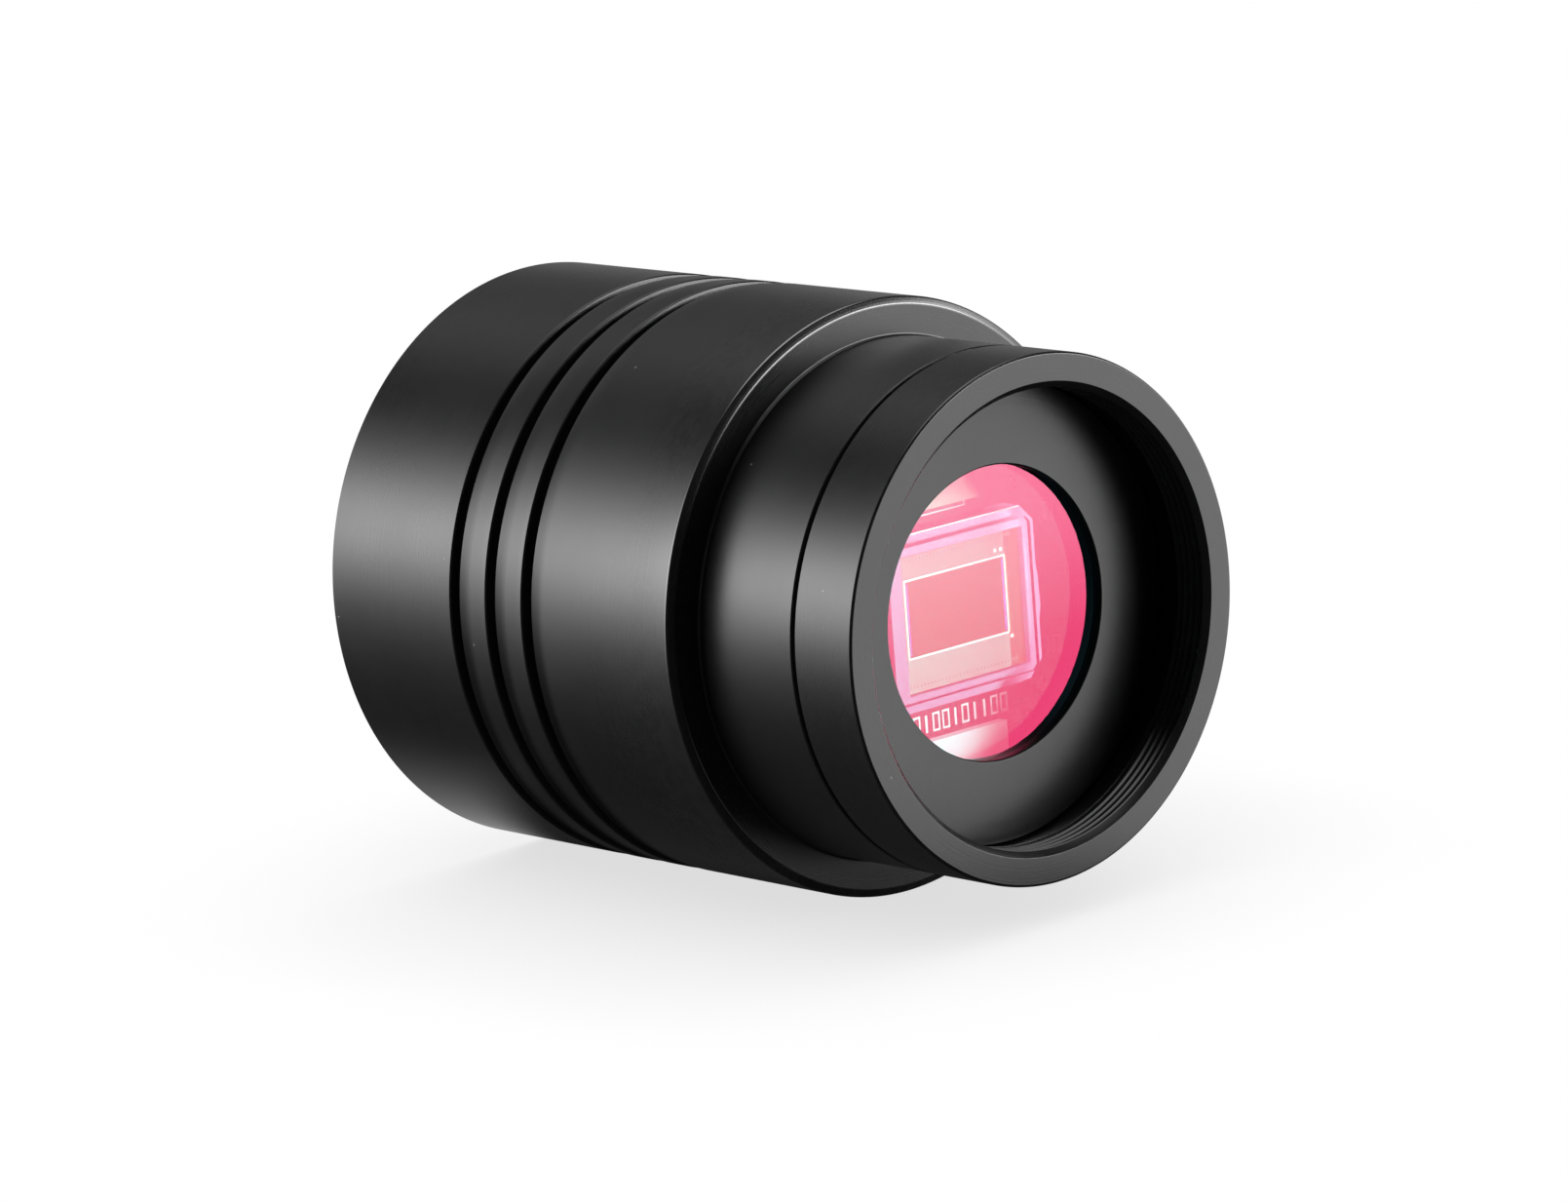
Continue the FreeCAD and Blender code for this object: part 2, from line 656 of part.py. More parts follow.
# Peltier module; the hot plate reaches further up, to carry the leads
hot_plate_extra = 1.6
blocks("tec_cold_plate", [("Ceramic", cold_plate_back, tec_front, 0, 0, tec_side, tec_side)])
blocks("tec_hot_plate", [("Ceramic", tec_back, hot_plate_front,
                          0, hot_plate_extra / 2, tec_side, tec_side + hot_plate_extra)])
pellet_side = 1.5
pellet_pitch = 3.5
pellet_count = 6  # each way
pellet_start = -pellet_pitch * (pellet_count - 1) / 2
tec_pellets = start("tec_pellets")
pellet = pad(tec_pellets, "Pellet", hot_plate_front, cold_plate_back,
             [box_outline(pellet_start, pellet_start, pellet_side, pellet_side)])
grid_pattern(tec_pellets, pellet, "along_",
             [("y", pellet_pitch, pellet_count), ("z", pellet_pitch, pellet_count)])

clamp_head_seat = spreader_back + 2.2
heat_spreader = padded("heat_spreader", "Disc", spreader_back, tec_back,
                       [(0, 0, spreader_radius)])
holes(heat_spreader, "ScrewHoles", spreader_back, tec_back,
      screw_circle, clamp_angles, radius=small_clearance)
holes(heat_spreader, "HeadSeats", spreader_back, clamp_head_seat,
      screw_circle, clamp_angles, radius=2.1)
holes(heat_spreader, "PostThreads", spreader_back, spreader_back + 3.6,
      post_circle, post_angles, radius=post_thread)
pocket(heat_spreader, "CableSlot", spreader_back, tec_back,
       [box_outline(0, 17.6, wide=10.4, tall=4.4, cut=0.8)])
pocket(heat_spreader, "LeadSlot", spreader_back, tec_back,
       [box_outline(0, lead_z, wide=6.0, tall=2.0)])

# tubes round the clamp screws, between spreader and sensor board
sleeve_outer = 1.75
sleeve_inner = 1.12
sleeves = start("spacer_sleeves", clamp_angles[0] - 90.0)
tube = pad(sleeves, "Tube", tec_back, sensor_board_back,
           [(0, screw_circle, sleeve_outer), (0, screw_circle, sleeve_inner)])
ring_pattern(sleeves, [tube], len(clamp_angles))

screws("clamp_screws", screw_circle, clamp_angles, seat=clamp_head_seat,
       head_back=spreader_back + 0.4, head_radius=1.9, tip=flange_front - 0.3,
       shank_radius=small_shank, socket_radius=0.85, socket_deep=0.9)

# Peltier leads: from the hot plate's edge, back through the spreader.
# Left and right are as seen from the front.
lead_radius = 0.5
leads = start("tec_leads")
for lead_y, name in ((-1.4, "Left"), (1.4, "Right")):
    pad(leads, name, main_board_front, hot_plate_front + 0.8, [(lead_y, lead_z, lead_radius)])
    pad(leads, name + "Foot", hot_plate_front, hot_plate_front + 1.0,
        [box_outline(lead_y, 11.7, wide=1.0, tall=4.2)])

# -------------------------------------------------------- cable and connectors
cable_z = 17.9
connector_deep = 2.0
mouth_deep = 1.2


def connector(label, back, mouth_back):
    body = blocks(label, [("Block", back, back + connector_deep, 0, cable_z, 10.0, 2.4)])
    pocket(body, "Mouth", mouth_back, mouth_back + mouth_deep,
           [box_outline(0, cable_z, wide=8.4, tall=0.5)])


# one opens to the rear, the other to the front
connector("sensor_connector", sensor_board_back - connector_deep,
          sensor_board_back - connector_deep)
connector("cable_connector", main_board_front,
          main_board_front + connector_deep - mouth_deep)

# flat strip, drawn from the side, sagging between the connectors
cable_half_thick = 0.1
cable_wide = 8.0
cable_front = sensor_board_back - 0.9
cable_back = main_board_front + 0.9
cable_sag = [  # (share of the way from front to back, rise)
    (0.0, 0.0), (0.12, 0.0), (0.3, -0.55), (0.5, -0.75), (0.7, -0.55), (0.88, 0.0), (1.0, 0.0)]
top_side, low_side = [], []
for share, rise in cable_sag:
    x = cable_front * (1.0 - share) + cable_back * share
    top_side.append((x, cable_z + cable_half_thick + rise))
    low_side.append((x, cable_z - cable_half_thick + rise))
flex_cable = start("flex_cable")
side_view = new_sketch(flex_cable, "side", "XZ_Plane")
polygon(side_view, top_side + low_side[::-1])
strip = add(flex_cable, "PartDesign::Pad", "pad")
strip.Profile = side_view
strip.Length = cable_wide
strip.SideType = "Symmetric"
doc.recompute()


# -------------------------------------------------------------- electronics
def round_board(label, back, front):
    body = padded(label, "Board", back, front, [(0, 0, board_radius)])
    holes(body, "PostHoles", back, front, post_circle, post_angles, radius=post_clearance)
    return body


round_board("main_board", main_board_back, main_board_front)
# processor and memory on the rear face, driver and coil on the front
blocks("main_chips", [
    ("Processor", main_board_back - 1.3, main_board_back, -4.5, 5.0, 13.0, 13.0),
    ("Memory", main_board_back - 1.0, main_board_back, 8.0, 4.0, 8.0, 12.5),
    ("Driver", main_board_front, main_board_front + 1.6, 9.5, -3.0, 6.0, 5.0),
    ("Coil", main_board_front, main_board_front + 3.2, -8.0, -4.0, 7.0, 7.0, 1.0)])

rear_board = round_board("rear_board", rear_board_back, rear_board_front)
# all on the rear face
blocks("rear_chips", [
    ("Bridge", rear_board_back - 1.2, rear_board_back, -1.0, 11.5, 9.0, 7.0),
    ("Fuse", rear_board_back - 1.5, rear_board_back, 8.5, -16.8, 5.0, 3.2),
    ("Regulator", rear_board_back - 1.4, rear_board_back, -8.5, -16.6, 5.0, 3.6)])


def posts(label, back, front, stud_front, hole_deep):
    """Hexagonal posts with a stud in front and a threaded hole behind."""
    across_flats = 4.5
    body = start(label, post_angles[0] - 90.0)
    grip = pad(body, "Hex", back, front,
               [hexagon(post_circle, across_flats / math.sqrt(3), first_angle=30)])
    stud = pad(body, "Stud", front, stud_front, [(0, post_circle, large_shank)])
    bore = pocket(body, "Thread", back, back + hole_deep, [(0, post_circle, post_thread)])
    ring_pattern(body, [grip, stud, bore], len(post_angles))


posts("front_posts", main_board_front, spreader_back,
      stud_front=spreader_back + 3.4, hole_deep=5.0)
posts("rear_posts", rear_board_front, main_board_back,
      stud_front=main_board_front + 3.6, hole_deep=6.0)
screws("board_screws", post_circle, post_angles, seat=rear_board_back,
       head_back=rear_board_back - 1.6, head_radius=2.2, tip=rear_board_front + 4.5,
       shank_radius=large_shank, socket_radius=0.95, socket_deep=0.8)

# header between the boards; its pins pass through the rear board
header_z = -11.6
pin_side = 0.6
pin_hole_side = 0.7
pin_columns, pin_pitch_y = 8, 2.52
pin_rows, pin_pitch_z = 2, 2.54
first_pin_y = -pin_pitch_y * (pin_columns - 1) / 2
first_pin_z = header_z - pin_pitch_z * (pin_rows - 1) / 2
blocks("board_header", [
    ("Shroud", rear_board_front, main_board_back, 0, header_z, 20.0, 5.0)])
header_pins = start("header_pins")
pin = pad(header_pins, "Pin", rear_board_back - 1.2, rear_board_front,
          [box_outline(first_pin_y, first_pin_z, pin_side, pin_side)])
grid_pattern(header_pins, pin, "",
             [("y", pin_pitch_y, pin_columns), ("z", pin_pitch_z, pin_rows)])
pocket(rear_board, "PinHoles", rear_board_back, rear_board_front, [
    box_outline(first_pin_y + pin_pitch_y * i, first_pin_z + pin_pitch_z * j,
                pin_hole_side, pin_hole_side)
    for i in range(pin_columns) for j in range(pin_rows)])


# ------------------------------------------------------------------ sockets
def socket_outline(grow):
    """Data socket outline grown all round: square below, cut corners above."""
    a = socket_wide / 2 + grow
    b = socket_tall / 2 + grow
    cut = 2.3
    y = socket_y
    return [(y - a, -b), (y + a, -b), (y + a, b - cut),
            (y + a - cut, b), (y - a + cut, b), (y - a, b - cut)]


socket_back = cover_back + 0.1  # rear rim of the socket and the jack
socket_floor = rear_board_back - 0.6
tongue_root = rear_board_back - 6.6

usb_socket = padded("usb_socket", "Shell", socket_back, rear_board_back, [socket_outline(0.0)])
pocket(usb_socket, "Inside", socket_back, socket_floor, [socket_outline(-0.4)])
usb_tongue = padded("usb_tongue", "Block", tongue_root, socket_floor, [socket_outline(-0.42)])
pad(usb_tongue, "Tongue", cover_back + 1.6, tongue_root,
    [box_outline(socket_y, 0.0, wide=5.6, tall=3.2)])
padded("usb_contacts", "Strips", cover_back + 2.0, rear_board_back - 6.7, [
    box_outline(socket_y + offset, z, wide=0.8, tall=0.16)
    for offset in (-1.25, 1.25) for z in (1.7, -1.7)])

jack_step = cover_front + 0.1  # square case in front, round barrel behind
jack_floor = cover_back + 10.6
power_jack = blocks("power_jack", [("Case", jack_step, rear_board_back, jack_y, 0, 9.0, 11.0)])
pad(power_jack, "Barrel", socket_back, jack_step, [(jack_y, 0, jack_radius)])
jack_bore = 2.9
pocket(power_jack, "Bore", socket_back, jack_floor, [(jack_y, 0, jack_bore)])
power_pin_radius = 1.05
padded("power_pin", "Pin", cover_back + 1.2, jack_floor, [(jack_y, 0, power_pin_radius)])

# --------------------------------------------------------------- rear cover
cover_bevel = 0.3
mouth_gap = 0.15  # clearance round the socket and the jack
cover_head_seat = cover_back + 1.3
rear_cover = turned("rear_cover", [
    (cover_front, 0), (cover_front, cover_radius), (cover_back + cover_bevel, cover_radius),
    (cover_back, cover_radius - cover_bevel), (cover_back, 0)])
pocket(rear_cover, "DataMouth", cover_back, cover_front, [socket_outline(mouth_gap)])
pocket(rear_cover, "PowerMouth", cover_back, cover_front, [(jack_y, 0, jack_radius + mouth_gap)])
holes(rear_cover, "ScrewHoles", cover_back, cover_front, cover_circle, cover_angles, radius=1.4)
holes(rear_cover, "HeadSeats", cover_back, cover_head_seat,
      cover_circle, cover_angles, radius=2.35)

cover_gasket = turned("cover_gasket", [
    (cover_front, lip_bore + 0.2), (cover_front, cover_radius - 0.1),
    (lip_back, cover_radius - 0.1), (lip_back, lip_bore + 0.2)])
holes(cover_gasket, "Holes", cover_front, lip_back, cover_circle, cover_angles, radius=1.45)

screws("cover_screws", cover_circle, cover_angles, seat=cover_head_seat,
       head_back=cover_back + 0.1, head_radius=2.2, tip=lip_front - 0.2,
       shank_radius=large_shank, socket_radius=1.0, socket_deep=0.8)

# --------------------------------------------------------- check and export
doc.recompute()
for item in doc.Objects:
    state = list(item.State)
    if "Invalid" in state or "Error" in state:
        raise RuntimeError("%s is %s" % (item.Name, state))
for body in bodies:
    shape = body.Shape
    if shape.isNull() or not shape.isValid() or not shape.Solids:
        raise RuntimeError("bad shape: " + body.Label)
    if shape.Volume <= 0:
        raise RuntimeError("no volume: " + body.Label)

os.makedirs("parts", exist_ok=True)
for body in bodies:
    body.Shape.exportStep("parts/%s.step" % body.Label)
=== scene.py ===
"""Cooled sensor camera: a black turned body lying along the X axis.

The front ring's face is at x = 0 and faces +X, the rear cover lies towards -X, and +Z is up.
Blender units are metres. Shapes are written in millimetres, materials and lights in metres.
"""

import bmesh
import bpy
import math
from functools import reduce
from mathutils import Matrix, Vector


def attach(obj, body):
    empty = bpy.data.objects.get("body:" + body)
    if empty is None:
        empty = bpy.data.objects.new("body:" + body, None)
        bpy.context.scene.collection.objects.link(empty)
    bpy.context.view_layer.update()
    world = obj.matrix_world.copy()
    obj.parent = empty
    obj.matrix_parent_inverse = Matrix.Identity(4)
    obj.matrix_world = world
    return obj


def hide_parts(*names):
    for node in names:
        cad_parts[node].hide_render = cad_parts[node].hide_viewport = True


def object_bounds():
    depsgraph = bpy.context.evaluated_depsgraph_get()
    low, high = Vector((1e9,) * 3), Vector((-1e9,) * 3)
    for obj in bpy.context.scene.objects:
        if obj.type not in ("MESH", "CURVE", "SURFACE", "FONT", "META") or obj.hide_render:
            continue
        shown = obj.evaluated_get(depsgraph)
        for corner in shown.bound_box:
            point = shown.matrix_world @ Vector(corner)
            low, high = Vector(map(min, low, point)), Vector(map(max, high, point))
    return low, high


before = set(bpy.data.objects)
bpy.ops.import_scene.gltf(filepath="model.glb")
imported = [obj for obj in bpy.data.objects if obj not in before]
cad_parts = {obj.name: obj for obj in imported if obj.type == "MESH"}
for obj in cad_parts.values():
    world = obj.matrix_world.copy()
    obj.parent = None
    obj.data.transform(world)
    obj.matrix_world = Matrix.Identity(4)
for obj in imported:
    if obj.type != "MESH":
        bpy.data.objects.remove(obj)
cad_low, cad_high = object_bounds()
scene = bpy.context.scene

MM = 0.001
PER_MM = 1000.0             # metres to millimetres inside the shaders
WHITE = (1.0, 1.0, 1.0)

SEGMENTS = 360              # steps round a turned piece
CORNER_STEPS = 4            # steps over a rolled corner
SHARP_ANGLE = 30            # degrees between faces above which an edge of a flat piece stays sharp

NOSE_RADIUS = 23.75         # front ring and the front of the housing
BARREL_RADIUS = 27.3        # rest of the body
THREAD_PITCH = 0.75
THREAD_RADIUS = 20.59       # crest of the thread inside the front ring
SPIGOT_RADIUS = 22.35       # crest of the thread on the ring's rear end
HOUSING_LIP = -37.93        # x of the front housing's rear edge
SHELL_FRONT = -37.75        # x where the body shell meets the housing
GROOVE_WALLS = (-39.15, -44.10, -49.05)     # x of the rear wall of each outside groove
GROOVE_WIDTH = 1.17
GROOVE_RADIUS = 25.9
LAND_REACH = 3.0            # length of surface in front of a groove over which painted shade can darken it

SENSOR_X = -12.5            # front plane of the sensor die
OPENING = (-6.95, 8.35, -6.75, 5.9)         # y0, y1, z0, z1 of the opening in the sensor's rim
LAP = 0.01                  # how far the die's fields run under the rim
BOARD_X = -14.2             # front plane of the sensor board


# --------------------------------------------------------------------------
# node graphs
# --------------------------------------------------------------------------
def scaled(color, factor, lift=0.0):
    return tuple(min(1.0, c * factor + lift) for c in color)


class Graph:
    """Builds the node tree of one material or world with short calls."""

    def __init__(self, name, library=bpy.data.materials):
        self.owner = library.new(name)
        self.owner.use_nodes = True
        self.tree = self.owner.node_tree
        self.tree.nodes.clear()

    def add(self, kind, settings=None, **inputs):
        """Adds a node. An input is given by its name, or as i0, i1... by its place."""
        node = self.tree.nodes.new("ShaderNode" + kind)
        for key, value in (settings or {}).items():
            setattr(node, key, value)
        for key, value in inputs.items():
            if key[0] == "i" and key[1:].isdigit():
                socket = node.inputs[int(key[1:])]
            else:
                name = key.replace("_", " ")
                socket = next(s for s in node.inputs if s.name == name and s.enabled)
            self.put(socket, value)
        return node

    def put(self, socket, value):
        if isinstance(value, bpy.types.NodeSocket):
            self.tree.links.new(value, socket)
        elif isinstance(value, bpy.types.Node):
            self.tree.links.new(value.outputs[0], socket)
        else:
            if socket.type == "RGBA" and len(value) == 3:
                value = (*value, 1.0)
            socket.default_value = value

    def math(self, operation, a, b=0.0, clamp=False):
        settings = {"operation": operation, "use_clamp": clamp}
        return self.add("Math", settings, i0=a, i1=b).outputs[0]

    def times(self, *values):
        return reduce(lambda a, b: self.math("MULTIPLY", a, b), values)

    def plus(self, *values):
        return reduce(lambda a, b: self.math("ADD", a, b), values)

    def minus(self, a, b):
        return self.math("SUBTRACT", a, b)

    def ramp(self, value, span, to=(0.0, 1.0), smooth=True):
        """Maps the range span onto the range to, held at both ends."""
        settings = {"interpolation_type": "SMOOTHSTEP" if smooth else "LINEAR"}
        return self.add("MapRange", settings, Value=value, From_Min=span[0], From_Max=span[1],
                        To_Min=to[0], To_Max=to[1]).outputs[0]

    def mix(self, factor, a, b):
        return self.add("Mix", {"data_type": "RGBA"}, i0=factor, i6=a, i7=b).outputs[2]

    def noise(self, where, scale, detail, rough, dims="3D"):
        place = {"W" if dims == "1D" else "Vector": where}
        return self.add("TexNoise", {"noise_dimensions": dims}, Scale=scale, Detail=detail,
                        Roughness=rough, **place).outputs[0]

    def cells(self, where, scale, metric="EUCLIDEAN"):
        """Voronoi cells: distance from the middle, and three random values per cell."""
        node = self.add("TexVoronoi", {"distance": metric}, Vector=where, Scale=scale)
        return node.outputs["Distance"], self.channels(node.outputs["Color"])

    def channels(self, color):
        return tuple(self.add("SeparateColor", Color=color).outputs)

    def split(self, vector):
        return tuple(self.add("SeparateXYZ", Vector=vector).outputs)

    def coords(self):
        return self.add("TexCoord").outputs["Object"]

    def stretch(self, vector, scale):
        return self.add("Mapping", Vector=vector, Scale=scale).outputs[0]

    def attribute(self, name):
        return self.add("Attribute", {"attribute_name": name}).outputs["Fac"]

    def bump(self, height, strength, distance, normal=None):
        extra = {} if normal is None else {"Normal": normal}
        return self.add("Bump", Strength=strength, Distance=distance, Height=height,
                        **extra).outputs[0]

    def emission(self, strength, color=WHITE):
        return self.add("Emission", Color=color, Strength=strength)

    def both(self, a, b):
        return self.add("AddShader", i0=a, i1=b)

    def blend(self, factor, a, b):
        return self.add("MixShader", i0=factor, i1=a, i2=b)

    def finish(self, shader, output="OutputMaterial"):
        self.add(output, i0=shader)
        return self.owner


# --------------------------------------------------------------------------
# body materials
# --------------------------------------------------------------------------
def turned_position(graph):
    """x, y, z, radius, and x plus radius in millimetres.

    The last runs across the cutter marks on barrels and faces alike.
    """
    x, y, z = graph.split(graph.coords())
    radius = graph.math("SQRT", graph.plus(graph.times(y, y), graph.times(z, z)))
    return x, y, z, radius, graph.times(graph.plus(x, radius), PER_MM)


def painted_thread_glint(graph, x, y, z, radius, strength):
    """Painted glint: an emission near the thread's crests, low in the ring and mostly on its +Y
    side.
    """
    arc = graph.times(graph.ramp(y, span=(-0.009, 0.001)),
                      graph.ramp(y, span=(0.0105, 0.0160), to=(1.0, 0.0)),
                      graph.ramp(z, span=(-0.012, -0.008), to=(1.0, 0.0)))
    crests = graph.times(graph.ramp(radius, span=(0.02070, 0.02075), to=(1.0, 0.0)),
                         graph.ramp(x, span=(-0.00350, -0.00345)),
                         graph.ramp(x, span=(-0.00056, -0.00050), to=(1.0, 0.0)))
    return graph.emission(graph.times(arc, crests, strength))


def paint_land_shade(graph, shader, tone, normal, z, radius):
    """Painted shade: dulls the lands in front of the grooves towards a plain diffuse tone, more so
    on the underside.
    """
    side = graph.math("DIVIDE", z, graph.math("MAXIMUM", radius, 0.001))
    land = graph.attribute("land")
    least = graph.ramp(side, span=(-0.60, 0.45), to=(0.05, 0.90))
    clear_from = graph.ramp(side, span=(-0.75, -0.25), to=(2.75, 1.85))
    sheen = graph.ramp(land, span=(0.7, clear_from), to=(least, 1.0))
    shade_diffuse = graph.add("BsdfDiffuse", Color=tone, Normal=normal)
    return graph.blend(sheen, shade_diffuse, shader)


def black_anodised(name, rough, base, cutter=1.0, shaded_lands=False, bore=0.0, glint=0.0):
    """Matte black anodised aluminium, turned: cutter marks, cloudy tone, dust and rubbed edges,
    the edges partly real rubbing and partly a painted highlight.

    base is the grey level, cutter the depth of the marks, bore the radius inside which there is
    hardly any sheen, a painted shade, and glint the strength of the painted glint on the thread.
    """
    graph = Graph(name)
    where = graph.coords()
    x, y, z, radius, across = turned_position(graph)
    marks = graph.noise(across, scale=5.5, detail=2.0, rough=0.6, dims="1D")
    fine_marks = graph.noise(across, scale=23.0, detail=2.0, rough=0.6, dims="1D")
    cloud = graph.noise(where, scale=55.0, detail=4.0, rough=0.6)
    grain = graph.noise(where, scale=5200.0, detail=2.0, rough=0.5)
    distance, seeds = graph.cells(where, scale=520.0)
    dust = graph.times(graph.ramp(distance, span=(0.035, 0.075), to=(1.0, 0.0)),
                       graph.ramp(seeds[0], span=(0.955, 0.965)))
    # rubbed edges: this attribute lightens and polishes edges and raises their sheen, partly real
    # rubbing and partly a painted edge highlight
    wear_and_highlight = graph.attribute("wear_and_highlight")
    patches = graph.noise(where, scale=900.0, detail=3.0, rough=0.6)
    rubbed = graph.ramp(patches, span=(0.36, 0.62), to=(0.35, 1.0))
    worn_and_highlight = graph.math("MULTIPLY", wear_and_highlight, rubbed, clamp=True)

    dark, light, marked = (scaled(grey, base) for grey in (
        (0.80, 0.80, 0.82), (1.25, 1.25, 1.27), (1.6, 1.6, 1.62)))
    dust_color = (0.30, 0.30, 0.29)
    worn_highlight_color = (0.018, 0.018, 0.019)
    tone = graph.mix(cloud, dark, light)
    tone = graph.mix(graph.times(marks, 0.25), tone, marked)
    tone = graph.mix(graph.times(dust, 0.5), tone, dust_color)
    tone = graph.mix(graph.times(worn_and_highlight, 0.35), tone, worn_highlight_color)

    roughness = graph.ramp(cloud, span=(0.3, 0.7), to=(rough - 0.025, rough + 0.03), smooth=False)
    roughness = graph.plus(roughness, graph.times(graph.minus(marks, 0.5), 0.07))
    polish = graph.times(graph.ramp(wear_and_highlight, span=(0.0, 2.0), smooth=False), 0.12)
    roughness = graph.minus(roughness, polish)

    height = graph.plus(graph.times(marks, 0.6 * cutter), graph.times(fine_marks, 0.5 * cutter))
    normal = graph.bump(height, strength=0.10, distance=0.00006)
    normal = graph.bump(grain, strength=0.10, distance=0.00004, normal=normal)
    tangent = graph.add("Tangent", {"direction_type": "RADIAL", "axis": "X"})
    sheen = graph.plus(graph.ramp(wear_and_highlight, span=(1.0, 3.0), to=(0.0, 0.5), smooth=False), 0.5)
    # painted shade: inside the bore radius the sheen is cut away so the aperture's wall looks dark
    if bore:
        sheen = graph.times(sheen, graph.ramp(radius, span=(bore, bore + 0.00012), to=(0.05, 1.0)))
    shader = graph.add("BsdfPrincipled", Base_Color=tone, Roughness=roughness,
                       Specular_IOR_Level=sheen, Normal=normal, Anisotropic=0.35, Tangent=tangent)
    # painted glint: an emission on the thread's crests
    if glint:
        shader = graph.both(shader, painted_thread_glint(graph, x, y, z, radius, glint))
    # painted shade on the lands in front of the grooves, more on the underside
    if shaded_lands:
        shader = paint_land_shade(graph, shader, tone, normal, z, radius)
    return graph.finish(shader)


def plain(name, color, rough, metallic=0.0, vary=0.25, bump=0.15, bump_scale=1500.0,
          bump_depth=0.00003, streak=None, coat=0.0):
    """A finished surface with drifting tone, uneven roughness, fine relief and lighter edges.

    vary is how far the tone drifts, and streak stretches the grain by a scale per axis.
    """
    drift_scale = 400.0
    graph = Graph(name)
    where = graph.coords()
    if streak:
        where = graph.stretch(where, streak)
    drift = graph.noise(where, scale=drift_scale, detail=4.0, rough=0.6)
    relief = graph.noise(where, scale=bump_scale, detail=3.0, rough=0.6)
    tone = graph.mix(graph.ramp(drift, span=(0.3, 0.7)),
                     scaled(color, 1.0 - vary), scaled(color, 1.0 + vary))
    edge = graph.add("NewGeometry").outputs["Pointiness"]
    tone = graph.mix(graph.ramp(edge, span=(0.52, 0.62), to=(0.0, 0.35)), tone,
                     scaled(color, 1.5, lift=0.03))
    uneven = graph.noise(where, scale=drift_scale * 2.3, detail=3.0, rough=0.6)
    roughness = graph.ramp(uneven, span=(0.25, 0.75), to=(rough * 0.82, min(1.0, rough * 1.2)),
                           smooth=False)
    normal = graph.bump(relief, strength=bump, distance=bump_depth)
    return graph.finish(graph.add(
        "BsdfPrincipled", Base_Color=tone, Metallic=metallic, Roughness=roughness,
        Specular_IOR_Level=0.5, Coat_Weight=coat, Normal=normal))


# --------------------------------------------------------------------------
# sensor chamber materials
# --------------------------------------------------------------------------
def board_material():
    """Green solder mask with raised copper tracks, tinned vias and a little flux haze."""
    graph = Graph("board_green")
    where = graph.coords()
    face = graph.stretch(where, (0.0, 1.0, 1.0))
    _, block = graph.cells(face, scale=330.0, metric="CHEBYCHEV")
    bands = [graph.add("TexWave", {"wave_type": "BANDS", "bands_direction": axis},
                       Vector=face, Scale=420.0) for axis in "YZ"]
    chosen = graph.mix(graph.ramp(block[0], span=(0.49, 0.51)), *bands)
    tracks = graph.times(graph.ramp(chosen, span=(0.55, 0.72)),
                         graph.ramp(block[1], span=(0.45, 0.5)))
    distance, seeds = graph.cells(face, scale=420.0)
    vias = graph.times(graph.ramp(distance, span=(0.10, 0.13), to=(1.0, 0.0)),
                       graph.ramp(seeds[2], span=(0.72, 0.76)))
    haze = graph.noise(where, scale=160.0, detail=4.0, rough=0.6)
    mask_dark, mask_light = (0.002, 0.012, 0.007), (0.003, 0.018, 0.010)
    track_color, via_color = (0.005, 0.030, 0.016), (0.12, 0.12, 0.10)
    tone = graph.mix(haze, mask_dark, mask_light)
    tone = graph.mix(graph.times(tracks, 0.8), tone, track_color)
    tone = graph.mix(vias, tone, via_color)
    height = graph.plus(tracks, graph.times(vias, 0.6))
    normal = graph.bump(height, strength=0.5, distance=0.00003)
    roughness = graph.ramp(haze, span=(0.3, 0.7), to=(0.26, 0.38))
    return graph.finish(graph.add("BsdfPrincipled", Base_Color=tone, Roughness=roughness,
                                  Normal=normal, Specular_IOR_Level=0.35))


def glass(graph, reflection, mirror_rough, tint, ior):
    """Mirror and refraction added together."""
    mirror = graph.add("BsdfGlossy", Color=reflection, Roughness=mirror_rough)
    through = graph.add("BsdfRefraction", Color=tint, Roughness=0.0, IOR=ior)
    return graph.both(mirror, through)


def let_light_pass(graph, shader, path, color):
    """Finishes a glass that shadow and diffuse rays cross unbent, taking the given colour."""
    clear = graph.add("BsdfTransparent", Color=color)
    crossing = graph.math("MAXIMUM", path["Is Shadow Ray"], path["Is Diffuse Ray"])
    return graph.finish(graph.blend(crossing, shader, clear))


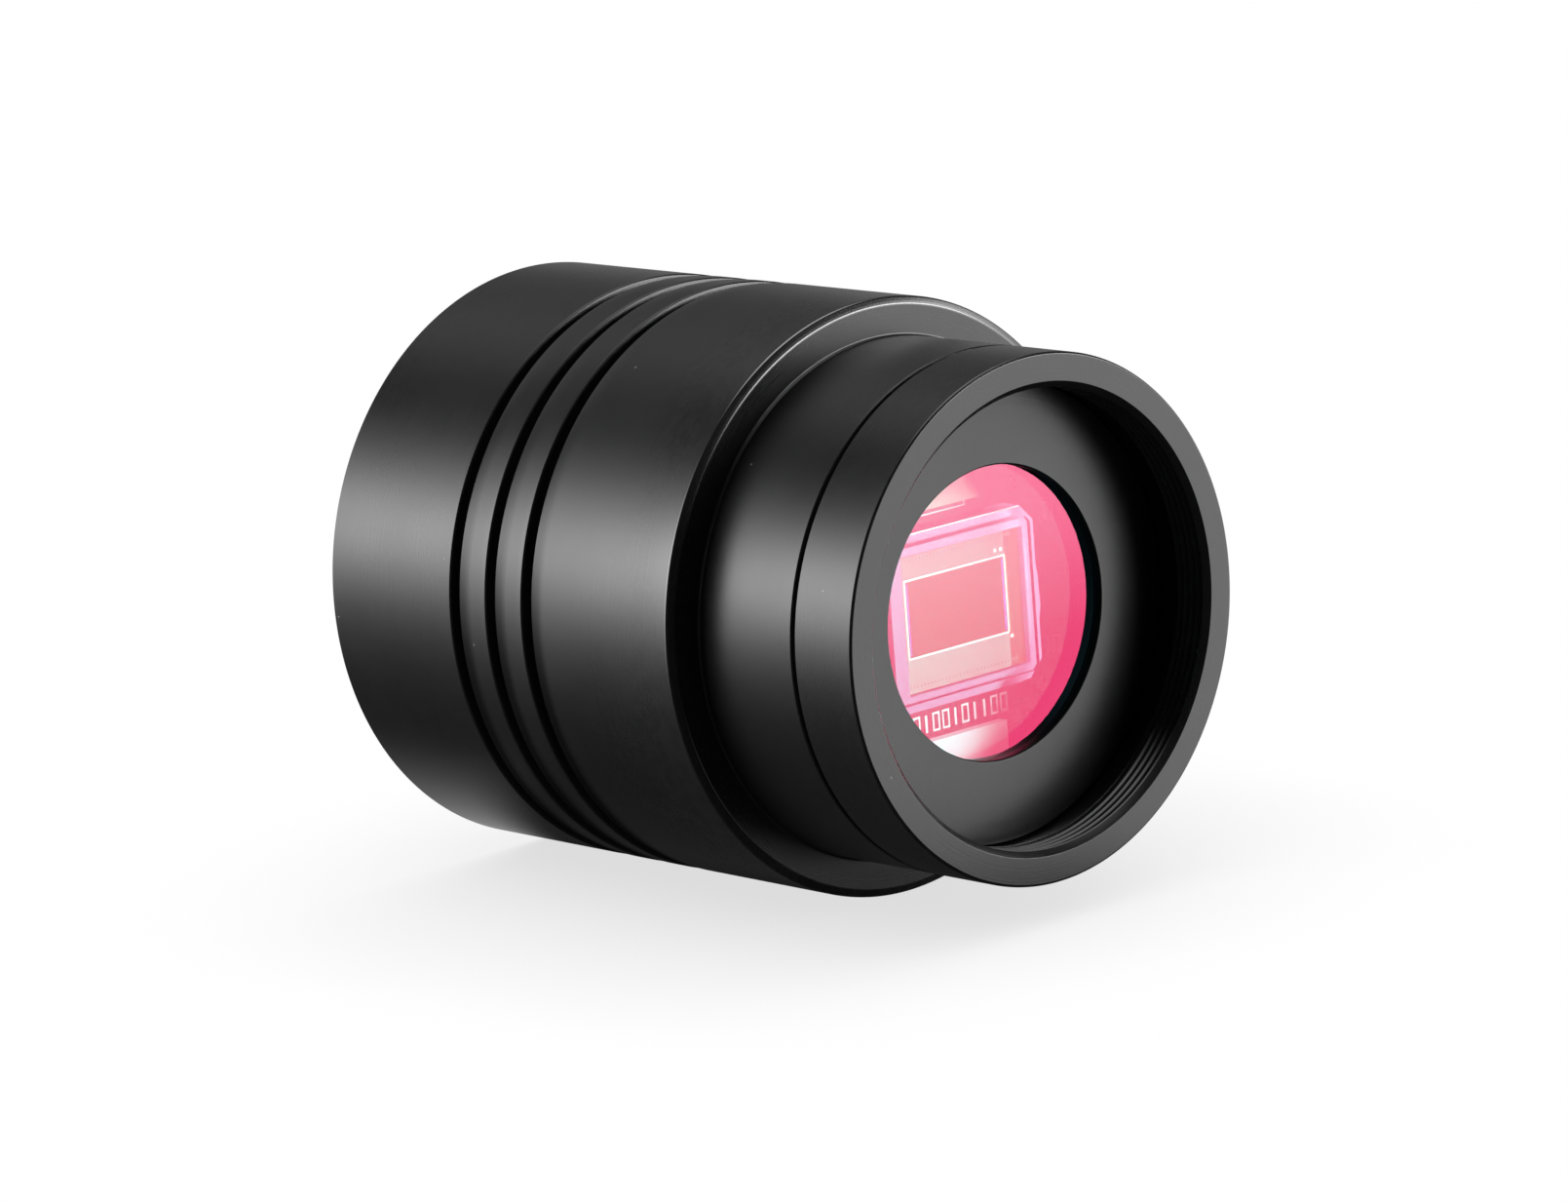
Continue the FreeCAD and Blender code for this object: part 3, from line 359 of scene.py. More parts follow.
def window_material():
    """Infrared-blocking window: the front face mirrors deep pink and passes green-blue light."""
    coat_low, coat_high = (0.270, 0.019, 0.059), (0.310, 0.063, 0.110)
    veil_color = (0.36, 0.17, 0.19)
    veil_amount = 0.0       # a pale veil over the -Y side, at zero
    tint = (0.35, 0.92, 0.85)
    spill = (0.60, 2.10, 2.00)      # light let into the chamber
    main_view = (0.725, -0.656, 0.208)

    graph = Graph("window_coated")
    where = graph.coords()
    x, y, z = graph.split(where)
    front = graph.ramp(x, span=(-0.00740, -0.00730))
    y_mm = graph.times(y, PER_MM)
    z_mm = graph.times(z, PER_MM)
    ripple = graph.noise(where, scale=45.0, detail=2.0, rough=0.5)
    up = graph.ramp(graph.plus(z_mm, graph.times(ripple, 2.0)), span=(-6.0, 13.0))
    coat = graph.mix(up, coat_low, coat_high)
    veil = graph.ramp(graph.plus(y_mm, graph.times(z_mm, -0.25)), span=(4.0, 8.0), to=(1.0, 0.0))
    coat = graph.mix(graph.times(veil, veil_amount), coat, veil_color)
    coat = graph.mix(front, (0.02, 0.02, 0.02), coat)
    shader = glass(graph, coat, 0.03, graph.mix(front, WHITE, tint), ior=1.52)
    # painted reflection: seen from well off the main view, the front face glows in the coating's
    # colour for camera rays
    square = graph.add("VectorMath", {"operation": "DOT_PRODUCT"},
                       i0=graph.add("NewGeometry").outputs["Incoming"], i1=main_view).outputs[1]
    path = graph.add("LightPath").outputs
    strength = graph.times(front, path["Is Camera Ray"],
                           graph.ramp(square, span=(0.978, 0.996), to=(2.3, 0.0)))
    shader = graph.both(shader, graph.emission(strength, coat))
    return let_light_pass(graph, shader, path, graph.mix(front, WHITE, spill))


def cover_glass_material():
    """Thin clear glass over the sensor, with a faint uneven reflection."""
    clear = (0.98, 0.98, 0.98)
    graph = Graph("sensor_cover_glass")
    haze = graph.noise(graph.coords(), scale=300.0, detail=3.0, rough=0.5)
    reflection = graph.mix(haze, (0.006, 0.008, 0.008), (0.009, 0.011, 0.011))
    shader = glass(graph, reflection, 0.04, clear, ior=1.5)
    return let_light_pass(graph, shader, graph.add("LightPath").outputs, clear)


def painted_stray_light(graph, where, most):
    """Painted light: emission strength rising towards +Y, standing in for light scattered in the
    chamber onto the side that the window's rim shades.
    """
    y = graph.split(where)[1]
    return graph.ramp(y, span=(0.0045, 0.0100), to=(0.0, most))


def sensor_surface(name, color, rough=0.35, lines=0.0):
    """Flat, slightly uneven surface on the die, glowing with painted light on its +Y side. lines
    is the strength of a fine square grid.
    """
    vary = 0.06
    grid_pitch = 0.00012
    graph = Graph(name)
    where = graph.coords()
    drift = graph.noise(where, scale=500.0, detail=3.0, rough=0.5)
    tone = graph.mix(drift, scaled(color, 1 - vary), scaled(color, 1 + vary))
    fine = graph.noise(where, scale=9000.0, detail=1.0, rough=0.5)
    if lines:
        _, y, z = graph.split(where)
        rows, columns = (graph.math("SINE", graph.times(axis, 2.0 * math.pi / grid_pitch))
                         for axis in (y, z))
        grid = graph.times(graph.plus(rows, columns), lines)
        tone = graph.mix(graph.math("ADD", grid, 0.5, clamp=True), tone, scaled(color, 1.10))
    normal = graph.bump(fine, strength=0.05, distance=0.00001)
    return graph.finish(graph.add(
        "BsdfPrincipled", Base_Color=tone, Roughness=rough, Metallic=0.0, Normal=normal,
        Specular_IOR_Level=0.06, Emission_Color=tone,
        # painted light: emission brightening the +Y side
        Emission_Strength=painted_stray_light(graph, where, most=1.3)))


def glazed(name, color, sheen, rough):
    """Dark ceramic under a thin coloured glaze, with painted shade dimming the glaze on faces
    turned away from +X and painted light glowing on the +Y side.
    """
    graph = Graph(name)
    where = graph.coords()
    drift = graph.noise(where, scale=420.0, detail=3.0, rough=0.5)
    body = graph.mix(drift, scaled(color, 0.85), scaled(color, 1.15))
    glaze = graph.mix(drift, scaled(sheen, 0.93), scaled(sheen, 1.07))
    # painted shade: the glaze's reflection is dimmed on faces turned away from +X
    facing = graph.split(graph.add("NewGeometry").outputs["Normal"])[0]
    glaze = graph.mix(graph.ramp(facing, span=(0.80, 0.97)), scaled(sheen, 0.45), glaze)
    relief = graph.noise(where, scale=3000.0, detail=3.0, rough=0.6)
    normal = graph.bump(relief, strength=0.10, distance=0.00001)
    matte = graph.add("BsdfDiffuse", Color=body, Normal=normal)
    gloss = graph.add("BsdfGlossy", Color=glaze, Roughness=rough, Normal=normal)
    # painted light: the glaze glows on the +Y side
    painted_glow = graph.emission(painted_stray_light(graph, where, most=3.0), glaze)
    return graph.finish(graph.both(graph.both(matte, gloss), painted_glow))


def pale_material():
    """Pale moulded blocks above and below the sensor, darker towards their +Y ends by painted
    shade; the lower ones glow faintly with painted light.
    """
    white_dark, white_light = (0.75, 0.68, 0.70), (0.82, 0.75, 0.76)
    upper_dark, upper_light = (0.40, 0.42, 0.33), (0.44, 0.46, 0.36)
    lower_shade_color, upper_shade_color = (0.62, 0.50, 0.50), (0.030, 0.028, 0.026)
    graph = Graph("pale_moulding")
    where = graph.coords()
    _, y, z = graph.split(where)
    y_mm = graph.times(y, PER_MM)
    z_mm = graph.times(z, PER_MM)
    upper = graph.math("GREATER_THAN", z_mm, 0.0)
    # on the upper blocks the painted shade's edge slants with z
    along = graph.plus(y_mm, graph.times(upper, graph.minus(z_mm, 9.4), 0.66))
    end = graph.plus(graph.times(upper, -0.2), 4.4)
    start = graph.plus(graph.times(upper, 2.4), -3.4)
    # painted shade: this mask darkens the blocks towards their +Y ends, where the window's rim
    # shades them
    dust = graph.ramp(graph.minus(along, end), span=(start, 0.6))
    drift = graph.noise(where, scale=500.0, detail=3.0, rough=0.5)
    tone = graph.mix(upper, graph.mix(drift, white_dark, white_light),
                     graph.mix(drift, upper_dark, upper_light))
    tone = graph.mix(dust, tone, graph.mix(upper, lower_shade_color, upper_shade_color))
    relief = graph.noise(where, scale=2500.0, detail=3.0, rough=0.6)
    normal = graph.bump(relief, strength=0.15, distance=0.00002)
    return graph.finish(graph.add(
        "BsdfPrincipled", Base_Color=tone, Roughness=0.4, Normal=normal, Specular_IOR_Level=0.15,
        # painted light: the lower blocks glow faintly, the upper ones not at all
        Emission_Color=tone,
        Emission_Strength=graph.ramp(upper, span=(0.0, 1.0), to=(0.12, 0.0))))


materials = {
    "body": black_anodised("anodised_body", rough=0.32, base=0.003, shaded_lands=True),
    "ring": black_anodised("anodised_ring", rough=0.32, base=0.003, glint=0.075),
    "plate": black_anodised("anodised_plate", rough=0.34, base=0.003, cutter=0.7, bore=0.01328),
    "cover": black_anodised("anodised_cover", rough=0.40, base=0.006, cutter=0.6),
    "washer": plain("washer_black", (0.012, 0.012, 0.012), rough=0.6),
    "bare_aluminium": plain("aluminium_milled", (0.74, 0.75, 0.77), metallic=1.0, rough=0.30,
                            vary=0.08, streak=(1.0, 12.0, 1.0), bump=0.2),
    "copper": plain("copper_milled", (0.80, 0.42, 0.26), metallic=1.0, rough=0.28, vary=0.15,
                    streak=(1.0, 8.0, 1.0)),
    "screw": plain("black_oxide_steel", (0.10, 0.10, 0.105), metallic=0.9, rough=0.34, vary=0.2,
                   bump=0.2),
    "brass": plain("turned_brass", (0.78, 0.62, 0.30), metallic=1.0, rough=0.25, vary=0.12,
                   streak=(6.0, 1.0, 1.0)),
    "rubber": plain("seal_rubber_black", (0.018, 0.018, 0.018), rough=0.62, vary=0.3, bump=0.3),
    "ceramic": plain("white_alumina", (0.84, 0.83, 0.80), rough=0.45, vary=0.05, bump=0.25,
                     bump_scale=4000.0),
    "chip": plain("chip_epoxy", (0.030, 0.030, 0.033), rough=0.5, bump=0.35, bump_scale=6000.0),
    "foam": plain("closed_cell_foam", (0.055, 0.055, 0.056), rough=0.9, vary=0.4, bump=1.0,
                  bump_scale=1800.0, bump_depth=0.0002),
    "pad": plain("gap_pad", (0.42, 0.48, 0.55), rough=0.7, vary=0.1, bump=0.4),
    "pellet": plain("bismuth_telluride", (0.50, 0.50, 0.52), metallic=0.9, rough=0.4, vary=0.2,
                    bump=0.3),
    "wire": plain("lead_wire_red", (0.55, 0.03, 0.02), rough=0.35, vary=0.15, bump=0.1),
    "nylon": plain("connector_nylon", (0.030, 0.030, 0.031), rough=0.42, vary=0.2, bump=0.25,
                   bump_scale=3000.0),
    "flex": plain("flex_film_amber", (0.62, 0.30, 0.05), rough=0.25, vary=0.2,
                  streak=(1.0, 14.0, 1.0), coat=0.3),
    "gold": plain("gold_plate", (0.92, 0.68, 0.28), metallic=1.0, rough=0.22, vary=0.08),
    "nickel": plain("nickel_sheet", (0.62, 0.61, 0.59), metallic=1.0, rough=0.27, vary=0.08,
                    streak=(1.0, 10.0, 1.0)),
    "capacitor": plain("capacitor_body", (0.060, 0.042, 0.028), rough=0.35, vary=0.15),
    "tin": plain("tinned_pad", (0.80, 0.80, 0.80), metallic=1.0, rough=0.3, vary=0.08),
    "board": board_material(),
    "window": window_material(),
    "cover_glass": cover_glass_material(),
    "package": glazed("package_ceramic", (0.03, 0.012, 0.016), sheen=(0.132, 0.126, 0.188),
                      rough=0.14),
    "die": sensor_surface("die_silicon", (0.14, 0.075, 0.036)),
    "die_pale": sensor_surface("die_pale_field", (0.17, 0.222, 0.184)),
    # the lower field is a lighter copy of the pale colour: painted light making up for light that
    # falls off downwards
    "die_pale_low_painted_light": sensor_surface("die_pale_field_low_painted_light", (0.19, 0.285, 0.248)),
    "array": sensor_surface("pixel_array_field", (0.10, 0.059, 0.020), lines=0.15),
    "line_white": sensor_surface("die_edge_white", (0.80, 0.78, 0.72), rough=0.4),
    "line_violet": sensor_surface("die_edge_violet", (0.20, 0.15, 0.55)),
    "line_yellow": sensor_surface("die_edge_yellow", (0.30, 0.27, 0.13)),
    "pale": pale_material(),
    "silk": plain("silkscreen_white", (0.75, 0.75, 0.73), rough=0.55, vary=0.08, bump=0.2),
}


# --------------------------------------------------------------------------
# mesh helpers
# --------------------------------------------------------------------------
def add_object(name, mesh):
    piece = bpy.data.objects.new(name, mesh)
    scene.collection.objects.link(piece)
    return piece


def finish_mesh(piece, material, body, sharp_angle=None):
    """Material, smooth shading with weighted normals, and the body the piece moves with."""
    mesh = piece.data
    mesh.materials.append(materials[material])
    for face in mesh.polygons:
        face.use_smooth = True
    if sharp_angle is not None:
        mark_sharp(mesh, sharp_angle)
    weighted = piece.modifiers.new("weighted", "WEIGHTED_NORMAL")
    weighted.keep_sharp = True
    weighted.weight = 100
    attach(piece, body)


def mark_sharp(mesh, degrees):
    work = bmesh.new()
    work.from_mesh(mesh)
    limit = math.radians(degrees)
    for edge in work.edges:
        if len(edge.link_faces) == 2:
            edge.smooth = edge.calc_face_angle(0.0) < limit
    work.to_mesh(mesh)
    work.free()


def rounded(outline):
    """Closed outline of (x, r, rounding[, wear]) -> (x, r, wear) with each corner rolled over; the
    wear value marks rubbed edges and sets a painted edge highlight.
    """
    points = []
    for i, (x, r, rounding, *rest) in enumerate(outline):
        if rounding <= 0.0:
            points.append((x, r, 0.0))
            continue
        wear_and_highlight = rest[0] if rest else 1.0
        corner = Vector((x, r))
        before = outline[i - 1]
        after = outline[(i + 1) % len(outline)]
        back = Vector((before[0] - x, before[1] - r))
        ahead = Vector((after[0] - x, after[1] - r))
        back_length, ahead_length = back.length, ahead.length
        back.normalize()
        ahead.normalize()
        angle = math.acos(max(-1.0, min(1.0, back.dot(ahead))))
        run = min(rounding / max(math.tan(angle / 2.0), 1e-3),
                  back_length * 0.45, ahead_length * 0.45)
        start = corner + back * run
        end = corner + ahead * run
        for k in range(CORNER_STEPS + 1):
            u = k / CORNER_STEPS
            spot = start * (1 - u) ** 2 + corner * (2 * u * (1 - u)) + end * u ** 2
            points.append((spot.x, spot.y, wear_and_highlight if 0 < k < CORNER_STEPS else 0.45 * wear_and_highlight))
    return points


def turned(name, outline, material, node, body="camera", lips=()):
    """Solid of revolution about X that replaces a CAD node.

    The outline runs from front to rear outside and returns inside. Two attributes are stored:
    wear, which marks rubbed edges and sets a painted edge highlight, and land, the millimetres in
    front of the nearest groove lip on the outer surface, which places the painted shade on the
    lands.
    """
    verts, wear_and_highlight, land = [], [], []
    points = rounded(outline)
    for x, r, edge_mark in points:
        gap = min([x - lip for lip in lips if x - lip > -0.01] + [LAND_REACH])
        for k in range(SEGMENTS):
            angle = 2 * math.pi * k / SEGMENTS
            verts.append((x * MM, r * math.cos(angle) * MM, r * math.sin(angle) * MM))
        wear_and_highlight += [edge_mark] * SEGMENTS
        land += [gap if r > 27.0 else LAND_REACH] * SEGMENTS
    faces = []
    for i in range(len(points)):
        ring = i * SEGMENTS
        following = (i + 1) % len(points) * SEGMENTS
        for k in range(SEGMENTS):
            j = (k + 1) % SEGMENTS
            faces.append((ring + k, ring + j, following + j, following + k))
    mesh = bpy.data.meshes.new(name)
    mesh.from_pydata(verts, [], faces)
    mesh.update()
    mesh.flip_normals()     # the faces above wind inwards
    for key, values in (("wear_and_highlight", wear_and_highlight), ("land", land)):
        mesh.attributes.new(key, "FLOAT", "POINT").data.foreach_set("value", values)
    piece = add_object(name, mesh)
    finish_mesh(piece, material, body)
    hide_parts(node)


def blocks(name, material, boxes, bevel=0.004):
    """Bevelled blocks in one mesh, each (x0, x1, y0, y1, z0, z1)."""
    sides = ((0, 1, 3, 2), (4, 6, 7, 5), (0, 4, 5, 1), (2, 3, 7, 6), (0, 2, 6, 4), (1, 5, 7, 3))
    whole = bmesh.new()
    for x0, x1, y0, y1, z0, z1 in boxes:
        block = bmesh.new()
        verts = [block.verts.new((x * MM, y * MM, z * MM))
                 for x in (x0, x1) for y in (y0, y1) for z in (z0, z1)]
        for side in sides:
            block.faces.new([verts[k] for k in side])
        bmesh.ops.recalc_face_normals(block, faces=block.faces)
        width = min(bevel, 0.3 * min(x1 - x0, y1 - y0, z1 - z0)) * MM
        bmesh.ops.bevel(block, geom=list(block.edges), offset=width, segments=2, profile=0.6,
                        affect="EDGES")
        carrier = bpy.data.meshes.new("tmp")
        block.to_mesh(carrier)
        block.free()
        whole.from_mesh(carrier)
        bpy.data.meshes.remove(carrier)
    mesh = bpy.data.meshes.new(name)
    whole.to_mesh(mesh)
    whole.free()
    piece = add_object(name, mesh)
    finish_mesh(piece, material, "camera", SHARP_ANGLE)


def frame_boxes(x0, x1, y0, y1, z0, z1, width):
    """Four boxes around a rectangle."""
    return [(x0, x1, y0 - width, y1 + width, z1, z1 + width),
            (x0, x1, y0 - width, y1 + width, z0 - width, z0),
            (x0, x1, y0 - width, y0, z0, z1),
            (x0, x1, y1, y1 + width, z0, z1)]


# --------------------------------------------------------------------------
# turned pieces: outlines are (x, radius, corner rounding[, wear]), where wear marks rubbed edges
# and sets a painted edge highlight
# --------------------------------------------------------------------------
def front_ring():
    thread = []
    for k in range(4):
        root = -3.28 + THREAD_PITCH * k
        thread += [(root - 0.315, THREAD_RADIUS, 0.055, 2.6), (root - 0.03, 21.0, 0.02),
                   (root + 0.03, 21.0, 0.02), (root + 0.315, THREAD_RADIUS, 0.055, 2.6)]
    spigot = []
    for k in range(4):
        root = -8.1 - THREAD_PITCH * k
        spigot += [(root + 0.28, SPIGOT_RADIUS, 0.03), (root + 0.03, 21.97, 0.02),
                   (root - 0.03, 21.97, 0.02), (root - 0.28, SPIGOT_RADIUS, 0.03)]
    turned("front_ring_turned", [
        (0.0, 21.15, 0.08), (0.0, 23.56, 0.16), (-0.19, NOSE_RADIUS, 0.16),
        (-6.98, NOSE_RADIUS, 0.05), (-7.1, 23.63, 0.04), (-7.1, SPIGOT_RADIUS, 0.0),
        *spigot,
        (-11.3, SPIGOT_RADIUS, 0.05), (-11.5, 22.15, 0.05), (-11.5, 21.05, 0.08),
        (-4.4, 21.05, 0.1), (-3.95, THREAD_RADIUS, 0.04),
        *thread,
        (-0.56, THREAD_RADIUS, 0.04),
    ], "ring", "front_ring", body="front_ring_body")


def eased(lip):
    """Land rolling down towards the groove whose front lip is at x = lip, front to rear."""
    steps = 6
    run = 1.7
    points = [(lip + LAND_REACH, BARREL_RADIUS, 0.0), (lip + run, BARREL_RADIUS, 0.0)]
    for k in range(1, steps + 1):
        u = k / steps
        points.append((lip + run * (1 - u), BARREL_RADIUS - 0.04 * u - 0.12 * u * u,
                       0.0 if k < steps else 0.04))
    return points


def front_housing():
    turned("front_housing_turned", [
        (-7.5, 22.42, 0.05), (-7.5, 23.63, 0.04), (-7.62, NOSE_RADIUS, 0.05),
        # small fillet up to the shoulder
        (-19.15, NOSE_RADIUS, 0.0), (-19.227, 23.762, 0.0), (-19.297, 23.798, 0.0),
        (-19.352, 23.853, 0.0), (-19.388, 23.923, 0.0), (-19.40, 24.0, 0.0),
        (-19.40, 26.58, 0.55, 2.3), (-19.76, BARREL_RADIUS, 0.30, 2.8),
        *eased(HOUSING_LIP),
        (HOUSING_LIP, 25.95, 0.0), (SHELL_FRONT, 25.95, 0.0), (SHELL_FRONT, 24.65, 0.0),
        (-39.6, 24.65, 0.05), (-39.6, 23.75, 0.05), (-41.1, 23.75, 0.05), (-41.1, 24.65, 0.05),
        (-43.7, 24.65, 0.05), (-44.0, 24.35, 0.05), (-44.0, 22.8, 0.05), (-22.5, 22.8, 0.05),
        (-22.5, 21.3, 0.05), (-14.2, 21.3, 0.05), (-14.2, 17.6, 0.05), (-12.0, 17.6, 0.05),
        (-12.0, 22.42, 0.05),
    ], "body", "front_housing", lips=(HOUSING_LIP,))


def groove_wall(wall):
    """Groove floor's rear end, sloping rear wall and rear edge."""
    return [(wall + 0.27, GROOVE_RADIUS, 0.08), (wall, 27.18, 0.05),
            (wall - 0.12, BARREL_RADIUS, 0.05)]


def body_shell():
    # the first groove's front side belongs to the housing
    lips = [wall + GROOVE_WIDTH for wall in GROOVE_WALLS[1:]]
    grooves = groove_wall(GROOVE_WALLS[0])
    for wall, lip in zip(GROOVE_WALLS[1:], lips):
        grooves += eased(lip) + [(lip, GROOVE_RADIUS, 0.08)] + groove_wall(wall)
    turned("body_shell_turned", [
        (SHELL_FRONT, 24.72, 0.0), (SHELL_FRONT, GROOVE_RADIUS, 0.0),
        *grooves,
        (-65.9, BARREL_RADIUS, 0.10), (-66.2, 27.0, 0.10), (-66.2, 25.75, 0.05),
        (-66.05, 25.6, 0.05), (-63.4, 25.6, 0.05), (-63.4, 19.8, 0.1), (-60.4, 19.8, 0.1),
        (-60.4, 24.72, 0.05),
    ], "body", "body_shell", lips=lips)


def window_cell():
    turned("window_cell_turned", [
        (-6.2, 13.37, 0.05), (-6.2, 20.75, 0.05), (-6.35, 20.9, 0.05), (-11.7, 20.9, 0.1),
        (-11.7, 16.62, 0.05), (-9.6, 16.62, 0.05), (-9.6, 15.7, 0.0), (-7.2, 15.7, 0.0),
        (-7.2, 13.25, 0.03), (-6.32, 13.25, 0.05),
    ], "plate", "window_cell")


front_ring()
front_housing()
body_shell()
window_cell()


# --------------------------------------------------------------------------
# sensor package, die and board marks
# --------------------------------------------------------------------------
# (y, z) of the package rim's outer edge, stepped round its +Y side
RIM_OUTLINE = [
    (-9.9, -8.35), (7.3, -8.35), (8.2, -7.75), (9.1, -5.3), (9.9, -3.6), (10.25, -1.8),
    (10.15, 1.0), (9.7, 3.9), (9.0, 6.75), (8.2, 7.75), (-9.9, 7.75),
]
RIM_FRONT = -11.995


def with_corner_rays(outline, opening):
    """Adds points where rays through the opening's corners cross, so its corners stay square."""
    y0, y1, z0, z1 = opening
    mid_y, mid_z = (y0 + y1) / 2, (z0 + z1) / 2
    points = []
    for i, start in enumerate(outline):
        end = outline[(i + 1) % len(outline)]
        edge_y, edge_z = end[0] - start[0], end[1] - start[1]
        from_y, from_z = start[0] - mid_y, start[1] - mid_z
        points.append(start)
        hits = []
        for y, z in ((y0, z0), (y1, z0), (y1, z1), (y0, z1)):
            ray_y, ray_z = y - mid_y, z - mid_z
            cross = ray_y * -edge_z + ray_z * edge_y
            if abs(cross) < 1e-9:
                continue
            along_ray = (from_y * -edge_z + from_z * edge_y) / cross
            u = (ray_y * from_z - ray_z * from_y) / cross
            if along_ray > 0 and 1e-4 < u < 1 - 1e-4:
                hits.append((u, (start[0] + edge_y * u, start[1] + edge_z * u)))
        points += [point for _, point in sorted(hits)]
    return points


def package_rim():
    """Flat plate round the die with a rectangular opening."""
    y0, y1, z0, z1 = OPENING
    mid_y, mid_z = (y0 + y1) / 2, (z0 + z1) / 2
    outer = with_corner_rays(RIM_OUTLINE, OPENING)
    inner = []
    for y, z in outer:
        dy, dz = y - mid_y, z - mid_z
        shrink = min(((y1 - y0) / 2) / max(abs(dy), 1e-9), ((z1 - z0) / 2) / max(abs(dz), 1e-9))
        inner.append((mid_y + dy * shrink, mid_z + dz * shrink))
    n = len(outer)
    verts = [(x * MM, y * MM, z * MM)
             for x in (SENSOR_X, RIM_FRONT) for loop in (outer, inner) for y, z in loop]
    faces = []
    for i in range(n):
        j = (i + 1) % n
        faces += [(i, n + i, n + j, j), (2 * n + i, 2 * n + j, 3 * n + j, 3 * n + i),
                  (i, j, 2 * n + j, 2 * n + i), (n + i, 3 * n + i, 3 * n + j, n + j)]
    mesh = bpy.data.meshes.new("package_rim")
    mesh.from_pydata(verts, [], faces)
    work = bmesh.new()
    work.from_mesh(mesh)
    bmesh.ops.recalc_face_normals(work, faces=work.faces)
    work.to_mesh(mesh)
    work.free()
    rim = add_object("package_rim", mesh)
    finish_mesh(rim, "package", "camera", SHARP_ANGLE)
    blocks("package_rim_edge", "line_white", [(-12.05, -11.99, -9.8, 8.3, 7.62, 7.74)])


def die_fields():
    """Thin sheets that colour the die round the pixel array."""
    y0, y1 = OPENING[0] - LAP, OPENING[1] + LAP
    z0, z1 = OPENING[2] - LAP, OPENING[3] + LAP
    pale_x = (SENSOR_X - 0.03, SENSOR_X - 0.02)
    pale_end, pale_z = 6.3, 3.62
    blocks("die_pale_field", "die_pale", [(*pale_x, y0, pale_end, pale_z, z1)], bevel=0.002)
    # the lower field takes the lighter copy of the colour, painted light
    blocks("die_pale_field_low_painted_light", "die_pale_low_painted_light", [(*pale_x, y0, pale_end, z0, -pale_z)],
           bevel=0.002)
    blocks("die_margin", "die", [(SENSOR_X - 0.08, SENSOR_X - 0.034, y0, y1, z0, z1)],
           bevel=0.002)


def die_marks():
    """Lines round the pixel array, square marks, and two rows of bond pads."""
    back = SENSOR_X - 0.03
    blocks("array_outline", "line_white",
           frame_boxes(back, SENSOR_X + 0.012, -6.15, 6.15, -3.45, 3.45, 0.19))
    blocks("array_edge_violet", "line_violet",
           [(SENSOR_X - 0.005, SENSOR_X + 0.018, y0, y1, -3.28, 3.28)
            for y0, y1 in ((-6.04, -5.90), (5.84, 6.04))])
    blocks("array_edge_yellow", "line_yellow",
           [(back, SENSOR_X + 0.01, y0, y1, -3.5, 3.5)
            for y0, y1 in ((6.36, 6.52), (-6.5, -6.36))])
    mark_places = ((5.2, 4.15), (5.9, 4.15), (6.6, -3.95), (-6.9, 4.2), (-6.9, -4.2))
    blocks("die_marks", "line_white",
           [(back, SENSOR_X + 0.01, y - 0.19, y + 0.19, z - 0.16, z + 0.16)
            for y, z in mark_places])
    pad_count, pad_start, pad_pitch = 33, -7.1, 0.44
    pads = []
    for k in range(pad_count):
        y = pad_start + pad_pitch * k
        pads += [(back, SENSOR_X + 0.004, y - 0.11, y + 0.11, z - 0.12, z + 0.12)
                 for z in (5.35, -6.15)]
    blocks("bond_pads", "die_pale", pads)


def board_silkscreen():
    """A row of printed digits, 0 as a frame and 1 as a bar, and a large frame above."""
    sheet = (BOARD_X, BOARD_X + 0.03)
    digit_start, digit_pitch = -4.5, 1.22
    print_boxes = []
    for k, digit in enumerate("0100101100"):
        y = digit_start + digit_pitch * k
        if digit == "0":
            print_boxes += frame_boxes(*sheet, y + 0.16, y + 0.68, -11.05, -9.70, 0.20)
        else:
            print_boxes.append((*sheet, y + 0.26, y + 0.54, -11.2, -9.6))
    print_boxes += frame_boxes(*sheet, -7.3, 3.6, 8.55, 13.1, 0.14)
    blocks("board_silkscreen", "silk", print_boxes)


package_rim()
die_fields()
die_marks()
board_silkscreen()


# --------------------------------------------------------------------------
# CAD nodes: a material each, and softened edges on some
# --------------------------------------------------------------------------
FINISH = {
    "ring_washer": "washer", "shell_oring": "rubber", "window_glass": "window",
    "window_cushion": "rubber", "window_retainer": "plate", "chamber_gasket": "rubber",
    "cell_screws": "screw", "sensor_package": "package", "sensor_die": "die",
    "pixel_array": "array", "sensor_glass": "cover_glass", "sensor_board": "board",
    "front_chips": "pale", "front_capacitors": "capacitor", "finger_pad": "pad",
    "cold_finger": "copper", "insulation_ring": "foam", "tec_cold_plate": "ceramic",
    "tec_hot_plate": "ceramic", "tec_pellets": "pellet", "heat_spreader": "bare_aluminium",
    "spacer_sleeves": "bare_aluminium", "clamp_screws": "screw", "tec_leads": "wire",
    "sensor_connector": "nylon", "cable_connector": "nylon", "flex_cable": "flex",
    "main_board": "board", "main_chips": "chip", "rear_board": "board", "rear_chips": "chip",
    "front_posts": "brass", "rear_posts": "brass", "board_screws": "screw",
    "board_header": "nylon", "header_pins": "gold", "usb_socket": "nickel",
    "usb_tongue": "nylon", "usb_contacts": "gold", "power_jack": "nylon", "power_pin": "gold",
    "rear_cover": "cover", "cover_gasket": "rubber", "cover_screws": "screw",
    "front_ring": "ring", "front_housing": "body", "body_shell": "body", "window_cell": "plate",
}
